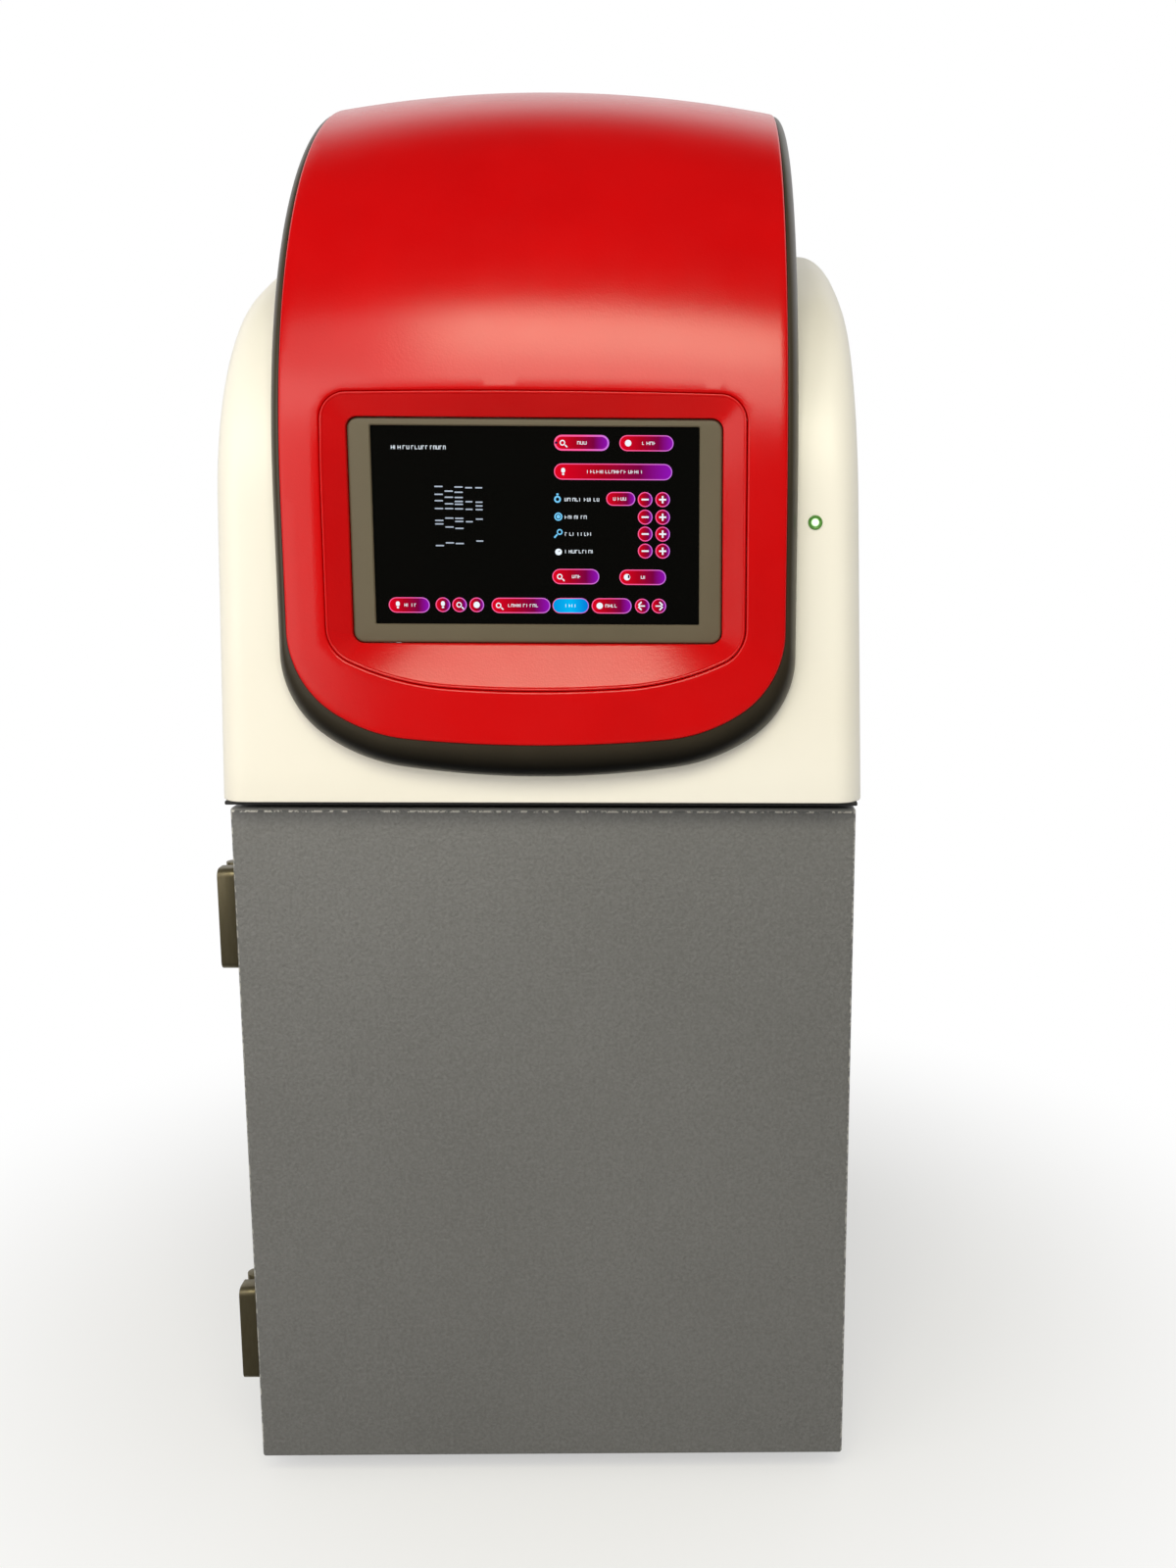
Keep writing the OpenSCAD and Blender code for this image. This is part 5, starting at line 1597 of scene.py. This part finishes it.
# %% Soften
def soften(node, width):
    packed = frame["nodes"][node]
    mesh = packed.data.copy()
    mesh.transform(packed.matrix_world)
    tidy = bmesh.new()
    tidy.from_mesh(mesh)
    bmesh.ops.remove_doubles(tidy, verts=tidy.verts, dist=1e-5)
    bmesh.ops.dissolve_limit(tidy, angle_limit=math.radians(1), verts=tidy.verts, edges=tidy.edges)
    tidy.to_mesh(mesh)
    tidy.free()
    piece = put_in_scene(node + "_softened", mesh)
    bevel(piece, width, 2, 40)
    baked(piece)
    piece.data.materials.clear()
    piece.data.materials.append(FINISHES[slot_of[node]].material)
    smoothed(piece.data, 42)
    settle(piece, body_of[node], [node])


WIDTHS = {
    "side_panel_left": 0.6, "side_panel_right": 0.6, "back_panel": 0.5, "base_pan": 0.5,
    "roof_plate": 0.5, "front_frame": 0.6, "hood_base": 0.6, "hinge_body_leaves": 0.5,
    "hinge_door_leaves": 0.5, "hinge_pins": 0.4, "magnetic_catch": 0.4, "interlock_switch": 0.4,
    "rear_cover": 0.5, "mains_inlet": 0.6, "switch_housing": 0.5, "data_ports": 0.25,
    "door_liner": 0.5, "strike_plate": 0.4, "tray": 0.5, "transilluminator_case": 0.9,
    "filter_frame": 0.35, "camera_bracket": 0.4, "camera_body": 0.8,
    "power_supply": 0.5, "power_rocker": 0.5, "filter_holder": 0.5, "epi_light_bars": 0.5}
for node, width in WIDTHS.items():
    soften(node, width)
print(len(WIDTHS), "parts softened")

# %% [markdown]
# ## Floor and surroundings
# The instrument stands on a white sweep. For the camera the sweep fades into a pure white
# surrounding, so no horizon shows, and near the object it keeps a soft shadow.
# What the glossy parts mirror is set apart from what the camera sees: bright behind the object,
# dark overhead and on the side of the camera, so the red keeps its depth.

# %% World
DIFFUSE_FILL, MIRRORED_FRONT, MIRRORED_BACK = 0.385, 0.015, 0.9
world = bpy.data.worlds.new("white_studio")
world.use_nodes = True
bpy.context.scene.world = world
sky = Graph(world.node_tree)
path = sky.node("ShaderNodeLightPath")
seen = {name: Wire(sky, path.socket.node.outputs[name]) for name in
        ("Is Camera Ray", "Is Glossy Ray", "Is Transmission Ray")}
direction = sky.node("ShaderNodeTexCoord", output="Generated")
depth, height = (sky.node("ShaderNodeSeparateXYZ", inputs=[direction], output=letter) for letter in "YZ")
behind = sky.rise(depth, -0.1, 0.3)
overhead = sky.rise(height, 0.62, 0.88)
mirrored_light = behind * (1.0 - overhead) * MIRRORED_BACK + MIRRORED_FRONT
glossy = seen["Is Glossy Ray"] + seen["Is Transmission Ray"]
strength = DIFFUSE_FILL
for ray, light in ((glossy, mirrored_light), (seen["Is Camera Ray"], 1.0)):
    strength = sky.node("ShaderNodeMix", {"data_type": "FLOAT"}, {0: ray, 2: strength, 3: light})
background = world.node_tree.nodes["Background"]
background.inputs["Color"].default_value = (1, 1, 1, 1)
sky.plug(background.inputs["Strength"], strength)
print("surroundings: white for the camera, fill", DIFFUSE_FILL)

# %% Floor
FLOOR_HALF, FLOOR_THICK = 3.0, 0.002
made = Finish("white_sweep")
distance = made.node("ShaderNodeVectorMath", {"operation": "LENGTH"}, [made.place()], 1)
far = made.rise(distance, 0.16, 0.6) * 0.5 + 0.5
made.surface({
    "Base Color": made.mix(made.noise(3, 2), paint(244, 244, 243), paint(248, 248, 247)),
    "Roughness": made.noise(8, 2) * 0.05 + 0.85})
glow = made.node("ShaderNodeEmission", inputs={"Color": (1, 1, 1, 1), "Strength": 1.0})
camera_ray = made.node("ShaderNodeLightPath", output="Is Camera Ray")
blended = made.node("ShaderNodeMixShader", inputs={
    0: camera_ray * far, 1: Wire(made, made.shader.outputs[0]), 2: glow})
made.tree.links.new(blended.socket, made.tree.nodes["Material Output"].inputs["Surface"])
corners = [(x * FLOOR_HALF, y * FLOOR_HALF, z) for z in (-FLOOR_THICK, 0)
           for x, y in ((-1, -1), (1, -1), (1, 1), (-1, 1))]
faces = [(3, 2, 1, 0), (4, 5, 6, 7)] + [(k, (k + 1) % 4, (k + 1) % 4 + 4, k + 4) for k in range(4)]
sweep_mesh = bpy.data.meshes.new("white_sweep")
sweep_mesh.from_pydata(corners, [], faces)
sweep_mesh.materials.append(made.material)
sweep = put_in_scene("white_sweep", sweep_mesh)
sweep.visible_glossy = False
print("floor", 2 * FLOOR_HALF, "m wide")

# %% [markdown]
# ## Lamps
# The visor's shoulder mirrors the key light as one broad band with a crisp upper edge.
# Following the mirrored ray at that edge gives the height of the lamp's upper edge, about
# 49 degrees, and the band fades downwards, so a dimmer panel hangs under the key.
# A wide soft panel lifts both ends of the band, and a low one on the left models that side.
# The brightness of each panel is given as radiance, since that is what a highlight shows.

# %% Lamps
AIM = Vector((0, -0.15, 0.5))
WARM = (1.0, 0.96, 0.88)


def softbox(name, azimuths, elevations, distance, radiance, colour=WARM):
    """An area lamp that fills a range of directions, in degrees seen from the instrument."""
    a, e = (math.radians(sum(pair) / 2) for pair in (azimuths, elevations))
    half_a, half_e = (math.radians((pair[1] - pair[0]) / 2) for pair in (azimuths, elevations))
    lamp = bpy.data.lights.new(name, "AREA")
    lamp.shape = "RECTANGLE"
    lamp.size = 2 * distance * math.cos(e) * math.tan(half_a)
    lamp.size_y = 2 * distance * math.tan(half_e)
    lamp.energy = radiance * math.pi * lamp.size * lamp.size_y
    lamp.color = colour
    towards = Vector((math.sin(a) * math.cos(e), -math.cos(a) * math.cos(e), math.sin(e)))
    turned = towards.to_track_quat("Z", "Y").to_matrix().to_4x4()
    put_in_scene(name, lamp).matrix_world = Matrix.Translation(AIM + towards * distance) @ turned
    print(name, round(lamp.energy, 1), "W")


softbox("key_softbox", (-20, 27), (35, 49), 1.7, 5.8, (1.0, 0.97, 0.72))
softbox("under_key_panel", (-18, 26), (23, 35), 1.75, 2.7, (1.0, 0.95, 0.75))
softbox("wide_panel", (-42, 24), (20, 47), 1.9, 1.25)
softbox("low_left_panel", (-62, -24), (-14, 30), 1.05, 1.4)
